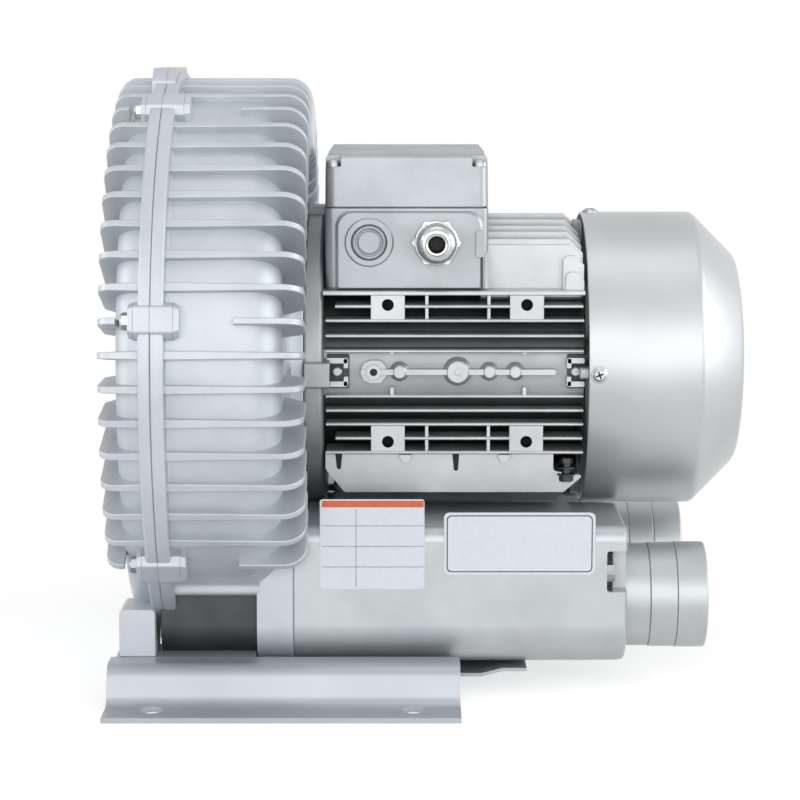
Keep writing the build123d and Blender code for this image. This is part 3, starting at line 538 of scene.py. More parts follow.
def make_finishes(looks):
    """Every finish of the blower, made once, before the pieces."""
    finishes.update({
        "cast_paint": paint_on_casting("silver_paint_on_cast_aluminium", looks.casting_colour,
                                       "#b4bac0", 1.3, looks.casting_roughness, metallic=0.6),
        # The frame's paint carries painted shade: darker towards the motor axis, down between the fins.
        "motor_paint": paint_on_casting("silver_paint_on_die_cast_frame", "#b9bcbe", "#a8abad", 1.0,
                                        0.40, painted_shade_radii=(66.5, 71.5)),
        "shield_paint": paint_on_casting("silver_paint_on_end_shield", "#a2a5a7", "#8f9294", 1.0,
                                         0.44),
        "box_paint": paint_on_casting("silver_paint_on_terminal_box", "#a6aaad", "#979b9e", 1.6, 0.46),
        "silencer_paint": paint_on_casting("silver_paint_on_silencer_casting", "#b7bbbd", "#abafb2",
                                           1.8, 0.46, depth=0.03),
        # Painted shade: stove paint in dark greys, on faces in hollows and under ledges where only
        # shade falls.
        "hollow": paint_on_casting("painted_shade_in_hollow", "#4c4f52", "#3a3d40", 1.3, 0.5),
        "cowl_paint": lacquer_on_sheet("silver_lacquer_on_pressed_cowl", looks.cowl_colour, "#aeb1b3",
                                       0.42),
        "rail_paint": lacquer_on_sheet("silver_lacquer_on_folded_rail", "#abb1b6", "#a0a6ab", 0.46,
                                       0.6),
        "zinc": plated_metal("bright_zinc_plated_steel", "#b6b9bb", "#989b9d", 0.34),
        # Dark grey plated steel, for the earth bolt.
        "dark_plated": plated_metal("dark_grey_plated_steel", "#4a4b4d", "#333436", 0.35),
        "nickel": plated_metal("nickel_plated_brass", "#c9cacb", "#b4b5b6", 0.27),
        "turned_steel": plated_metal("turned_shaft_steel", "#a9abac", "#8d8f90", 0.22,
                                     stretch=(12.0, 1.0, 1.0)),
        "cast_bare": plated_metal("bare_die_cast_aluminium", "#c3c5c6", "#a4a7a9", 0.42, 1.2),
        "laminations": stacked_laminations("stacked_electrical_steel", "#8b8d8f", "#55585a"),
        "copper": wound_wire("enamelled_copper_wire", "#b5652a", "#5e2c10"),
        "nylon": moulded_plastic("black_glass_filled_nylon", "#1d1e20", "#141516", 0.45),
        "rubber": moulded_plastic("black_nitrile_rubber", "#161616", "#0e0e0e", 0.6),
        "foam": open_foam("charcoal_polyurethane_foam", "#3a3b3d", "#0d0d0e"),
        "film_white": printed_film("white_label_film", "#dde2ea", "#d8dde6"),
        "film_orange": printed_film("orange_label_band", "#d9683a", "#cf5f33"),
        "film_black": printed_film("black_label_border", "#2c2c2c", "#242424"),
        "film_grey": printed_film("grey_label_rules", "#9a9c9c", "#8e9090"),
        "dark": moulded_plastic("shadowed_cable_entry", "#101112", "#0a0a0b", 0.7),
    })


# ---- blower head --------------------------------------------------------------------------
LUG_ANGLES = [LUG_ANGLE + k * 360 / LUG_COUNT for k in range(LUG_COUNT)]
BARE_FROM, BARE_TO = 219.0, 321.0  # underside without fins, over the ducts, degrees
FINNED = [a for a in (LUG_ANGLE + k * 360 / FIN_COUNT for k in range(FIN_COUNT))
          if not BARE_FROM < a % 360 < BARE_TO]


def on_lug(angle):
    """Whether a fin stands on a clamp lug."""
    return any(abs((angle - a + 180) % 360 - 180) < 1 for a in LUG_ANGLES)


def radial_fin(bm, outline, angle, root, tip):
    """Cast fin in the plane of the motor axis; it thins from root to tip as draft, and is
    thickest beside the flange, where the metal ran in."""
    a = math.radians(angle)
    sideways = Vector((0, math.sin(a), math.cos(a)))
    rows = []
    for side in (-1, 1):
        row = []
        for x, r in outline:
            share = min(1.0, max(0.0, (r - FIN_ROOT_R) / (FIN_R - FIN_ROOT_R)))
            near_flange = max(0.0, 1 - abs(x + 66) / 34)
            half = (root + (tip - root) * share + 1.7 * near_flange) / 2
            row.append(bm.verts.new(on_axis(x, angle, r) + sideways * side * half))
        rows.append(row)
    count = len(outline)
    bm.faces.new(rows[0][::-1])
    bm.faces.new(rows[1])
    for i in range(count):
        j = (i + 1) % count
        bm.faces.new((rows[0][i], rows[0][j], rows[1][j], rows[1][i]))


def around(x, angle, radius):
    """Placer for a block on the head: u runs sideways, v outwards and w along -X from x."""
    a = math.radians(angle)
    out = Vector((0, -math.cos(a), math.sin(a)))
    side = Vector((0, math.sin(a), math.cos(a)))
    centre = on_axis(x, angle, radius)
    return lambda u, v, w: centre + side * u + out * v + Vector((-w, 0, 0))


def duct_outline(side, grow):
    """Section of a duct and its silencer in y and z: tight above, full and round below."""
    y0, y1 = side * PORT_Y - DUCT_SIDE - grow, side * PORT_Y + DUCT_SIDE + grow
    low, high = DUCT_LOW - grow, DUCT_HIGH + grow
    return rounded([(y0, low), (y1, low), (y1, high), (y0, high)],
                   [26 + grow, 26 + grow, 9 + grow, 9 + grow], 9)


LUG_OUTLINE = rounded([(-10.5, -12), (10.5, -12), (10, -2.5), (7, 2.4), (-7, 2.4), (-10, -2.5)],
                      [0, 0, 1, 1.6, 1.6, 1], 3)
BOSS_OUTLINE = rounded([(-46, -18), (46, -18), (46, -5.0), (35, 2.3), (-35, 2.3), (-46, -5.0)],
                       [0, 0, 2, 9, 9, 2], 5)


def drum_wall(y0, y1, count):
    """Points (y, z) along the drum's wall, under the axis."""
    steps = [y0 + (y1 - y0) * k / count for k in range(count + 1)]
    return [(y, AXIS_Z - math.sqrt(WALL_R ** 2 - y ** 2)) for y in steps]


def duct(bm, side):
    """Duct of the head, the shoulder beside it, and the recess under the shoulder, drawn in painted
    shade.
    """
    prism(bm, duct_outline(side, 0.0), along_x(-16), 20.6)
    shoulder = [(120.4, 72.4), (115.2, 65.5), (115.2, 59.2), (101.6, 59.2)]
    shoulder += drum_wall(101.9, 114.4, 4)
    corners = [0, 4, 3] + [0] * 6
    prism(bm, rounded(mirrored(side, shoulder), corners, 4), along_x(-63), 49)
    # Duct under the shoulder, set back from it and rounded below; it takes the second finish, painted
    # shade.
    inner = [(60, 21), (109, 21), (109, 62), (103.6, 62)] + drum_wall(103.4, 60, 6)
    corners = [0, 24, 2] + [0] * 8
    prism(bm, rounded(mirrored(side, inner), corners, 9), along_x(-71), 57, material=1)


class BLOWER_OT_housing(bpy.types.Operator):
    """Cast housing of the head: drum, radial fins, clamp lugs, lifting boss and ducts"""
    bl_idname = "blower.housing"
    bl_label = "Blower housing"

    def execute(self, context):
        looks = context.scene.blower_looks
        bm = bmesh.new()
        bend = looks.shoulder / MM
        profile = [(-27.4, 20), (-27.4, 112), (-8, 112), (-8, 156), (JOINT_X, 156), (JOINT_X, 170.2)]
        profile += [(-68.8, FLANGE_R), (-63.6, FLANGE_R)] + arc(-63.6, 169.6, 1.4, 90, 0, 3)[1:]
        profile += [(-62.2, 165.5), (-61.4, 163.8), (-59.8, HEAD_R)]
        profile += arc(-bend, HEAD_R - bend, bend, 90, 0, 10)
        profile += [(0, 96), (0.8, 91), (3, 88), (6, 87), (9.4, 87), (10, 86.4), (10, 20)]
        lathe(bm, profile, HEAD_SIDES)
        for angle in FINNED:
            start = -bend - 5 if on_lug(angle) else -63.5
            outline = [(start, 161), (start, FIN_R)] + arc(0, FIN_R - 13, 13, 90, 0, 7)
            outline += [(13, 130)] + arc(7, 127, 6, 0, -50, 3) + [(-3, 108), (-3, 140), (-bend, 160)]
            radial_fin(bm, outline, angle, looks.fin_root / MM, looks.fin_tip / MM)
        for angle in LUG_ANGLES:
            lug = around(-57, angle, LUG_R)
            prism(bm, LUG_OUTLINE, lug, 12.5)
            prism(bm, LUG_OUTLINE, lambda u, v, w, p=lug: p(u, v, -w), 3.2, 0.82)
        # Lifting boss over the flange.
        prism(bm, BOSS_OUTLINE, around(-64.6, 90, BOSS_R), 4.9)
        for side in (-1, 1):
            duct(bm, side)
        piece = put("housing_casting", recalc(bm), [finishes["cast_paint"], finishes["hollow"]],
                    replaces=["blower_housing"], bevel=1.0)
        piece.modifiers["edge"].angle_limit = math.radians(40)
        return {"FINISHED"}


class BLOWER_OT_cover(bpy.types.Operator):
    """Cast cover of the head with its fins, lugs, shaft cap and two legs"""
    bl_idname = "blower.cover"
    bl_label = "Blower cover"

    def execute(self, context):
        looks = context.scene.blower_looks
        bm = bmesh.new()
        profile = [(-64.6, 26), (-64.6, 112), (-84, 112), (-84, 150), (-78, 156), (JOINT_X, 156)]
        profile += [(JOINT_X, 170.4), (-70.1, FLANGE_R), (-74.6, FLANGE_R)]
        profile += arc(-74.6, 169.4, 1.6, 90, 180, 3)[1:] + [(-76.2, 165), (-77, HEAD_R)]
        profile += arc(-77, 150, 13, 90, 180, 7)[1:]
        profile += [(-90, 102)] + arc(-88, 100, 2, 180, 270, 3)[1:]
        # Recessed middle, then the cap over the end of the shaft.
        profile += [(-80, 97.4), (-76.8, 95), (-76, 92)]
        profile += [(-76, 34), (-77, 31.4), (-80, 30), (-84, 29.6), (-85, 28.4), (-85, 24), (-72, 22)]
        lathe(bm, profile, HEAD_SIDES)
        disc(bm, lambda u, v, w: Vector((-80 - w, u, AXIS_Z + v)), 26, 6.6, 48, 2.5)
        for angle in FINNED:
            start = -88.5 if on_lug(angle) else -75
            outline = [(start, 151), (start, FIN_R)] + arc(-91, FIN_R - 8, 8, 90, 180, 5)
            outline += [(-99, 130)] + arc(-95, 127, 4, 180, 230, 3) + [(-87, 110), (-87, 148)]
            radial_fin(bm, outline, angle, looks.fin_root / MM, looks.fin_tip / MM)
        for angle in LUG_ANGLES:
            prism(bm, LUG_OUTLINE, around(JOINT_X, angle, LUG_R), 9)
            prism(bm, LUG_OUTLINE, around(JOINT_X - 9, angle, LUG_R), 3, 0.86)
        prism(bm, BOSS_OUTLINE, around(JOINT_X, 90, BOSS_R), 8.6)
        for side in (-1, 1):
            leg = rounded([(LEG_X0, RAIL_TOP), (LEG_X1, RAIL_TOP), (LEG_X1, LEG_TOP),
                           (LEG_X0, LEG_TOP)], [1, 1, 3, 3], 4)
            prism(bm, leg, toward_front(side * LEG_Y + 16), 32)
        put("cover_casting", recalc(bm), finishes["cast_paint"],
            replaces=["blower_cover"], bevel=1.0)
        bm = bmesh.new()
        for angle in LUG_ANGLES:
            hex_head(bm, around(-81, angle, 165), 5, 5)
        put("cover_bolts", recalc(bm), finishes["zinc"], replaces=["cover_screws"],
            bevel=0.25)
        return {"FINISHED"}


# ---- motor --------------------------------------------------------------------------------
FRAME_X0, FRAME_X1 = 21.0, 171.3
BARREL_R0, BARREL_R1 = 65.2, 66.6
FIN_FOOT_Y, FIN_TIP_Y = 48.0, 76.0
LONG_FINS = (29.8, 21.0, 12.2, -13.9, -22.2, -30.2, -46.6)  # heights from the motor axis
RIM_FIN = 45.6
PAD_FINS = (38.0, -38.4)
PAD_FIN_SPANS = ((28, 49), (67.5, 128.8), (147.3, FRAME_X1 - 1))
PAD_FOOT_Y = 52.0
TOP_FINS = ((0.0, 86.7), (13.0, 83.8), (26.0, 80.9), (39.0, 78.3), (52.0, 75.0))  # place, tip
PAD_XS = (58.2, 138.0)
RIB_Y = 68.0          # plain wall that the centre rib stands on
TRAY_Y = 71.5         # flat side of the tray
EARTH_X, EARTH_Y = 161.5, -71.5


def outward(side, y):
    """Placer for outlines in x and z that grow away from the axis on the near or the far side."""
    return toward_front(-y) if side < 0 else (lambda u, v, w: Vector((u, y + w, v)))


def frame_fin(bm, side, z, x0=FRAME_X0, x1=FRAME_X1, root_half=1.9, tip_half=0.95):
    """Fin along the motor frame, thinner at its blunted tip."""
    outline = [(FIN_FOOT_Y, z - root_half), (FIN_TIP_Y - 0.6, z - tip_half),
               (FIN_TIP_Y, z - tip_half + 0.5), (FIN_TIP_Y, z + tip_half - 0.5),
               (FIN_TIP_Y - 0.6, z + tip_half), (FIN_FOOT_Y, z + root_half)]
    prism(bm, level(mirrored(side, outline)), along_x(x0), x1 - x0)


def side_fins(bm, side):
    """Fins on one side of the frame, and the wall behind the centre rib."""
    for z in LONG_FINS:
        frame_fin(bm, side, z, FRAME_X0 + 1.5, FRAME_X1 - 0.5)
    # The short fins stop at the foot pads.
    for z in PAD_FINS:
        for x0, x1 in PAD_FIN_SPANS:
            frame_fin(bm, side, z, x0, x1)
    frame_fin(bm, side, RIM_FIN, root_half=1.5, tip_half=1.3)
    wall = [(40, -14), (68.2, -14), (69.2, -6), (69.2, 6), (68.3, 12.5), (40, 12.5)]
    prism(bm, level(mirrored(side, wall)), along_x(FRAME_X0), FRAME_X1 - FRAME_X0)


def foot_pads(bm, side):
    """Pads with their blind screw holes, for a motor with feet, and the webs between the fins."""
    for x in PAD_XS:
        for hole_z, z0, z1 in ((38.9, 30.2, 46.4), (-40.4, -46.4, -30.4)):
            pad = box_outline(x - 9.7, AXIS_Z + z0, x + 9.7, AXIS_Z + z1, 1.2, 3)
            # The holes take the frame's second finish, near black: painted shade inside them.
            pierced(bm, pad, [(x, AXIS_Z + hole_z, 3.4, 11)], outward(side, PAD_FOOT_Y), 23.4)
    for x in (80.6, 116.2):
        for z0, z1 in ((29.8, 45), (-46.6, -30.4)):
            web = box_outline(x - 0.9, AXIS_Z + z0, x + 0.9, AXIS_Z + z1, 0.4, 1)
            prism(bm, web, outward(side, PAD_FOOT_Y), 22.6)


def centre_rib(bm, side):
    """Centre rib with its bosses, hexagon nut and casting nibs."""
    wall = outward(side, RIB_Y)
    prism(bm, box_outline(42.5, AXIS_Z - 1.6, 155, AXIS_Z + 1.6, 1.2, 3), wall, 7.2)
    for x, r in ((65, 4.2), (98.4, 6.8), (116.7, 3.9), (131.6, 3.9)):
        disc(bm, shifted(wall, x, AXIS_Z), r + 1.5, 4.6, 36, 1.8)
        disc(bm, shifted(wall, x, AXIS_Z), r, 7.7, 36, 0.9)
    disc(bm, shifted(wall, 98.4, AXIS_Z), 3.0, 7.95, 24, 1.4)
    plate = rounded([(44.5, -5), (48, -6.6), (54, -6.6), (57, -3), (57, 3), (54, 6.6), (48, 6.6),
                     (44.5, 5), (43, 2.5), (43, -2.5)], 1.2, 2)
    nut_x = 50
    prism(bm, level(plate), wall, 5)
    prism(bm, level([(nut_x + u, v) for u, v in hexagon(4.7, 0.3)]), wall, 7.7)
    # Near-black disc on the nut: painted shade of its threaded bore.
    disc(bm, shifted(wall, nut_x, AXIS_Z), 2.3, 7.8, 20, 0.2, material=1)
    for x in (60.6, 136.8):
        for z0, z1 in ((-13.9, -8.6), (10.4, 12.8)):
            prism(bm, box_outline(x - 1.1, AXIS_Z + z0, x + 1.1, AXIS_Z + z1, 0.9, 3),
                  outward(side, RIB_Y - 1), 8.6)


def tie_lugs(bm, side):
    """Slotted lugs for the tie bolts at the two ends, with their hooked arms, on backs drawn in painted
    shade.
    """
    wall = outward(side, RIB_Y)
    for x0, x1, hook in ((23, 35, 33.2), (161.5, FRAME_X1, 161.5)):
        # Back plate in the third finish: painted shade behind the lugs.
        prism(bm, box_outline(x0, AXIS_Z - 10, x1 + 1, AXIS_Z + 10, 1, 2), outward(side, RIB_Y - 1),
              2.6, material=2)
        for z0, z1 in ((5.2, 8.4), (-8.4, -5.2)):
            prism(bm, box_outline(x0, AXIS_Z + z0, x1, AXIS_Z + z1, 0.7, 2), wall, 8)
        for z0, z1 in ((2.4, 8.0), (-8.0, -2.4)):
            prism(bm, box_outline(hook - 0.4, AXIS_Z + z0, hook + 2.2, AXIS_Z + z1, 0.6, 2), wall, 8)
        disc(bm, shifted(wall, (x0 + x1) / 2, AXIS_Z), 3.0, 5, 24, 0.8)


def belly(bm, side):
    """Flat-sided tray whose lower corners are cut off, with two slots drawn as thin near-black marks of
    painted shade, and two nibs.
    """
    tray = rounded([(22, -47), (22, -57), (33, -70.5), (160, -70.5), (170, -62), (170, -60.5),
                    (154, -58), (154, -47)], [0, 3, 2, 2, 1.5, 1, 2, 0], 4)
    prism(bm, level(tray), outward(side, 20), TRAY_Y - 20)
    # The slots are flat marks in the near-black second finish: painted shade.
    for x, z0 in ((29.8, -57), (97.6, -58)):
        slot = rounded([(x - 2.1, -48), (x - 1.2, z0), (x + 1.2, z0), (x + 1.9, -48)],
                       [0, 1.1, 1.1, 0], 3)
        prism(bm, level(slot), outward(side, TRAY_Y), 0.15, material=1)
    for x in (68.4, 125.4):
        nib = rounded([(x - 3.6, -48), (x - 2, -52.6), (x + 2, -52.6), (x + 3.6, -48)],
                      [0, 1, 1, 0], 2)
        prism(bm, level(nib), outward(side, TRAY_Y - 1.5), 5.6)


def top_fins(bm):
    """Upright fins behind the terminal box; the outermost stand on a plain flank."""
    for y, tip in TOP_FINS:
        for side in (1, -1) if y else (1,):
            outline = rounded([(112, 40), (112, tip), (163, tip), (FRAME_X1, tip - 8),
                               (FRAME_X1, 40)], [0, 1, 1.5, 1.5, 0], 3)
            prism(bm, level(outline), toward_front(side * y + 1.5), 3.0)
    for side in (-1, 1):
        flank = rounded([(112, 42), (112, 72), (164, 72), (170, 66), (170, 42)],
                        [0, 1, 1.5, 1.5, 0], 3)
        prism(bm, level(flank), toward_front(side * 55 + 3.5), 7)
        for x0, top, y in ((159, 66, 58), (160.5, 57, 62)):
            block = rounded([(x0, 45), (x0 + 0.4, top - 2), (x0 + 2.4, top), (x0 + 7, top),
                             (FRAME_X1, top - 5), (FRAME_X1, 45)], [0, 1, 1, 1, 1, 0], 3)
            prism(bm, level(block), toward_front(side * y + 6), 12)


def earth_bolt():
    """Bolt with its washers and nut, upright in the notch of the belly."""
    bm = bmesh.new()
    for low, high, r, sides in ((-64, -60.4, 4.2, 6), (-60.4, -59.4, 5.3, 40), (-59.4, -52, 2.6, 24),
                                (-56.5, -55.4, 5.0, 40), (-53.4, -50.2, 4.1, 6)):
        disc(bm, shifted(upward(AXIS_Z + low), EARTH_X, EARTH_Y), r, high - low, sides, 0.3)
    put("earth_bolt_stack", recalc(bm), finishes["dark_plated"],
        replaces=["earth_screw"], bevel=0.2)


class BLOWER_OT_motor_frame(bpy.types.Operator):
    """Die-cast motor frame with its fins, pads, centre rib and belly, and the earth bolt"""
    bl_idname = "blower.motor_frame"
    bl_label = "Motor frame"

    def execute(self, context):
        bm = bmesh.new()
        lathe(bm, [(FRAME_X0, BARREL_R0), (FRAME_X0, BARREL_R1), (FRAME_X1, BARREL_R1),
                   (FRAME_X1, BARREL_R0)])
        for side in (-1, 1):
            side_fins(bm, side)
            foot_pads(bm, side)
            centre_rib(bm, side)
            tie_lugs(bm, side)
            belly(bm, side)
        # Sole under the belly in the third finish: painted shade under the tray.
        sole = rounded([(26, -70), (33, -79), (157, -79), (164, -70)], [0, 2, 2, 0], 3)
        prism(bm, level(sole), toward_front(50), 100, material=2)
        top_fins(bm)
        put("motor_frame_casting", recalc(bm),
            [finishes["motor_paint"], finishes["dark"], finishes["hollow"]],
            replaces=["motor_frame"], bevel=0.45)
        earth_bolt()
        return {"FINISHED"}


class BLOWER_OT_shields(bpy.types.Operator):
    """End shields of the motor with their lugs"""
    bl_idname = "blower.shields"
    bl_label = "End shields"

    def execute(self, context):
        bm = bmesh.new()
        lathe(bm, [(10, 26.2), (10, 86), (11, 87), (19.4, 87), (20.6, 85.8), (21, 84), (21, 60),
                   (26.8, 34), (26.8, 26.2)], 144)
        lug = rounded([(-7.4, -8), (7.4, -8), (7.4, 8), (-7.4, 8)], [0, 0, 1.6, 1.6], 4)
        for k in range(4):
            face_x, depth = (21, 10.6) if k % 2 else (25, 14.6)
            prism(bm, lug, around(face_x, 90 * k, 84), depth)
        put("drive_shield_casting", recalc(bm), finishes["shield_paint"],
            replaces=["drive_end_shield"], bevel=0.6)
        bm = bmesh.new()
        lathe(bm, [(168, 26.2), (168, 64), (169, 65.2), (171.6, 65.2), (172.6, 64.4), (172.8, 60),
                   (172.8, 26.2)], 144)
        lug = rounded([(-3.4, -12), (3.4, -12), (3.4, 8), (-3.4, 8)], [0, 0, 2, 2], 4)
        for k in range(4):
            prism(bm, lug, around(174.4, 90 * k, 75), 6.2)
        put("rear_shield_casting", recalc(bm), finishes["shield_paint"],
            replaces=["rear_end_shield"], bevel=0.5)
        return {"FINISHED"}


COWL_X0, COWL_BEND_X, COWL_END_X = 173.0, 239.0, 265.9
COWL_WALL = 1.6
COWL_BEND_R = 6.0
COWL_SIDES = 160
COWL_SCREW_X = 179.0
COWL_SCREW_ANGLES = (0, 90, 180)
DOME_R, DOME_RISE = 54.0, 1.6
GRILLE_R0, GRILLE_R1 = 18, 46
SLOT_SHARE = 0.54  # of the way round that the slots take


def cowl_profile(radius):
    """Section of the cowl as (x, radius), from its open rim over the bend to the domed end."""
    line = [(COWL_X0, radius - 1.2), (COWL_X0 + 0.4, radius - 0.2), (COWL_X0 + 1.4, radius)]
    reach = COWL_BEND_R * math.tan(math.radians(22.5))
    for k in range(7):
        t = math.radians(45 * k / 6)
        line.append((COWL_BEND_X - reach + COWL_BEND_R * math.sin(t),
                     radius - COWL_BEND_R + COWL_BEND_R * math.cos(t)))
    line += [(262.9, 63.4), (264.6, 60.6), (265.3, 57)]
    line += [(COWL_END_X + DOME_RISE * (1 - (r / DOME_R) ** 2), r)
             for r in (54, 50, 46, 42, 38, 34, 30, 26, 22, 18, 14, 8)]
    return line


def on_cowl(angle, radius):
    """Placer for a screw on the cowl's rim: u runs along +X, v sideways and w outwards."""
    a = math.radians(angle)
    out = Vector((0, -math.cos(a), math.sin(a)))
    side = Vector((0, math.sin(a), math.cos(a)))
    centre = on_axis(COWL_SCREW_X, angle, radius)
    return lambda u, v, w: centre + Vector((u, 0, 0)) + side * v + out * w


def cowl_pressing(radius, slots):
    """Cowl with air slots between its hub and its bend, in sheet of even thickness."""
    line = cowl_profile(radius)
    bm = bmesh.new()
    rings = [[bm.verts.new(on_axis(x, 360 * k / COWL_SIDES, r)) for k in range(COWL_SIDES)]
             for x, r in line]
    for a, (low, high) in enumerate(zip(rings, rings[1:])):
        middle = (line[a][1] + line[a + 1][1]) / 2
        for k in range(COWL_SIDES):
            j = (k + 1) % COWL_SIDES
            phase = ((k + 0.5) / COWL_SIDES * slots) % 1.0
            if GRILLE_R0 < middle < GRILLE_R1 and abs(phase - 0.5) < SLOT_SHARE / 2:
                continue
            bm.faces.new((low[k], low[j], high[j], high[k]))
    bm.faces.new(rings[-1])
    cowl = put("cowl_pressing", recalc(bm), finishes["cowl_paint"],
               replaces=["fan_cowl"], smooth=40.0)
    sheet = cowl.modifiers.new("sheet", "SOLIDIFY")
    sheet.thickness = COWL_WALL * MM
    sheet.offset = -1.0
    soften(cowl, 0.5)


def cowl_screws(radius):
    """Screws round the rim of the cowl: washer, rounded head and cross slot."""
    bm = bmesh.new()
    for angle in COWL_SCREW_ANGLES:
        place = on_cowl(angle, radius - 0.4)
        disc(bm, place, 4.8, 1.2, 36, 0.3)
        disc(bm, place, 3.9, 2.4, 32, 1.1)
    put("cowl_screw_heads", recalc(bm), finishes["zinc"], replaces=["cowl_screws"])
    # The cross slots are near-black bars: painted shade in the recess of each slot.
    bm = bmesh.new()
    for angle in COWL_SCREW_ANGLES:
        for turn in (0.35, 0.35 + math.pi / 2):
            prism(bm, box_outline(-2.4, -0.45, 2.4, 0.45, 0.2, 1),
                  shifted(on_cowl(angle, radius + 1.3), 0, 0, turn), 0.76)
    put("cowl_screw_slots", recalc(bm), finishes["dark"])


class BLOWER_OT_cowl(bpy.types.Operator):
    """Pressed sheet cowl with a slotted grille, and its screws"""
    bl_idname = "blower.cowl"
    bl_label = "Fan cowl"

    def execute(self, context):
        looks = context.scene.blower_looks
        cowl_pressing(looks.cowl_radius / MM, looks.grille_slots)
        cowl_screws(looks.cowl_radius / MM)
        return {"FINISHED"}


# ---- terminal box -------------------------------------------------------------------------
BOX_X0, BOX_X1, BOX_Y = 22.0, 116.0, 68.0
BOX_Z0, BOX_Z1, BOX_TOP = 229.0, 276.0, 306.0
PANEL_Y = 72.0
GLAND_X, PLUG_X, GLAND_Z = 86.0, 47.5, 256.5
NUT_SIDES, NUT_FLUTES = 72, 12


def box_rings(rows, radius):
    """Rings of the box's outline at heights, each set in by its own amount."""
    return [[Vector((x, y, z)) for x, y in
             box_outline(BOX_X0 + inset, -BOX_Y + inset, BOX_X1 - inset, BOX_Y - inset, radius, 6)]
            for z, inset in rows]


def terminal_box():
    """Cast box with its stepped entry panel, the seat of the plug with a ring of painted shade round
    the plug, and the earth tab.
    """
    bm = bmesh.new()
    steps = [(BOX_Z0, 1.0), (BOX_Z0 + 2, 0.3), (BOX_Z1 - 1.2, 0.0), (BOX_Z1 - 0.3, 0.3),
             (BOX_Z1 - 0.3, 1.4), (BOX_Z1, 1.4)]
    loft(bm, box_rings(steps, 5))
    panel = rounded([(28.2, BOX_Z0 + 0.6), (112.8, BOX_Z0 + 0.6), (112.8, BOX_Z1 - 1.8),
                     (28.2, BOX_Z1 - 1.8)], [1, 1, 9, 9], 7)
    prism(bm, panel, toward_front(-BOX_Y + 2), 4.2)
    prism(bm, panel, toward_front(-BOX_Y - 2.2), 1.6, 0.962)
    spot = shifted(toward_front(-PANEL_Y + 0.8), PLUG_X, GLAND_Z)
    disc(bm, spot, 14.2, 1.5, 56, 0.9)
    # Dark disc under the plug, in the second finish: its rim shows as a ring of painted shade.
    disc(bm, spot, 10.5, 1.6, 56, material=1)
    # Earth tab and the rib that runs down beside it.
    prism(bm, box_outline(108.6, 248, 113.4, 263.5, 1.2, 3), toward_front(-PANEL_Y + 1.5), 3.2)
    prism(bm, rounded([(110.4, 253), (115.6, 250), (116, 230), (113.6, 230), (113.4, 249),
                       (110.4, 250.4)], 0.6, 2), toward_front(-PANEL_Y + 2.5), 3.4)
    put("terminal_box_casting", recalc(bm), [finishes["box_paint"], finishes["hollow"]],
        replaces=["terminal_box"], bevel=0.5)


def terminal_lid():
    """Lid with a stepped edge, ridges across the top and a notch at each corner."""
    bm = bmesh.new()
    steps = [(BOX_Z1, 0.7), (BOX_Z1 + 0.6, 0.2), (BOX_TOP - 2.4, 0.5), (BOX_TOP - 1.1, 1.0),
             (BOX_TOP - 0.4, 1.8), (BOX_TOP - 0.1, 3.0)]
    loft(bm, box_rings(steps, 6))
    # Ridges across the top.
    for k in range(6):
        ridge = rounded([(-5.6, -2), (5.6, -2), (3.6, 1.9), (-3.6, 1.9)], [0, 0, 0.8, 0.8], 3)
        prism(bm, [(20 * k - 50 + u, BOX_TOP + v) for u, v in ridge], along_x(BOX_X0 + 2.2),
              BOX_X1 - BOX_X0 - 4.4)
    lid = put("terminal_lid_casting", recalc(bm), finishes["box_paint"],
              replaces=["terminal_lid"], smooth=24, bevel=0.35)
    bm = bmesh.new()
    for x0, x1 in ((BOX_X0 - 2, BOX_X0 + 9.4), (BOX_X1 - 9.4, BOX_X1 + 2)):
        for y0, y1 in ((-BOX_Y - 2, -BOX_Y + 10), (BOX_Y - 10, BOX_Y + 2)):
            notch = [(x0, y0), (x1, y0), (x1, y1), (x0, y1)]
            prism(bm, notch, upward(BOX_TOP - 6.4), 12)
    carve(lid, bm, crossing=True)


def lid_screws():
    """Screw heads in the notches of the lid."""
    bm = bmesh.new()
    for x in (BOX_X0 + 4.8, BOX_X1 - 4.8):
        for y in (-BOX_Y + 5, BOX_Y - 5):
            disc(bm, shifted(upward(BOX_TOP - 6.6), x, y), 4.2, 3.8, 28, 1.5)
    put("lid_screw_heads", recalc(bm), finishes["zinc"], replaces=["lid_screws"],
        bevel=0.2)


class BLOWER_OT_terminal_box(bpy.types.Operator):
    """Terminal box with its entry panel, and the lid with stepped edge and corner screws"""
    bl_idname = "blower.terminal_box"
    bl_label = "Terminal box"

    def execute(self, context):
        terminal_box()
        terminal_lid()
        lid_screws()
        return {"FINISHED"}


def grip_ring(place, radius, w, flute=0.0):
    """Circle at the distance w from the panel, with grip flutes of that depth."""
    out = []
    for k in range(NUT_SIDES):
        t = 2 * math.pi * k / NUT_SIDES
        r = radius - flute * max(0.0, math.cos(NUT_FLUTES * t)) ** 2
        out.append(place(r * math.cos(t), r * math.sin(t), w))
    return out


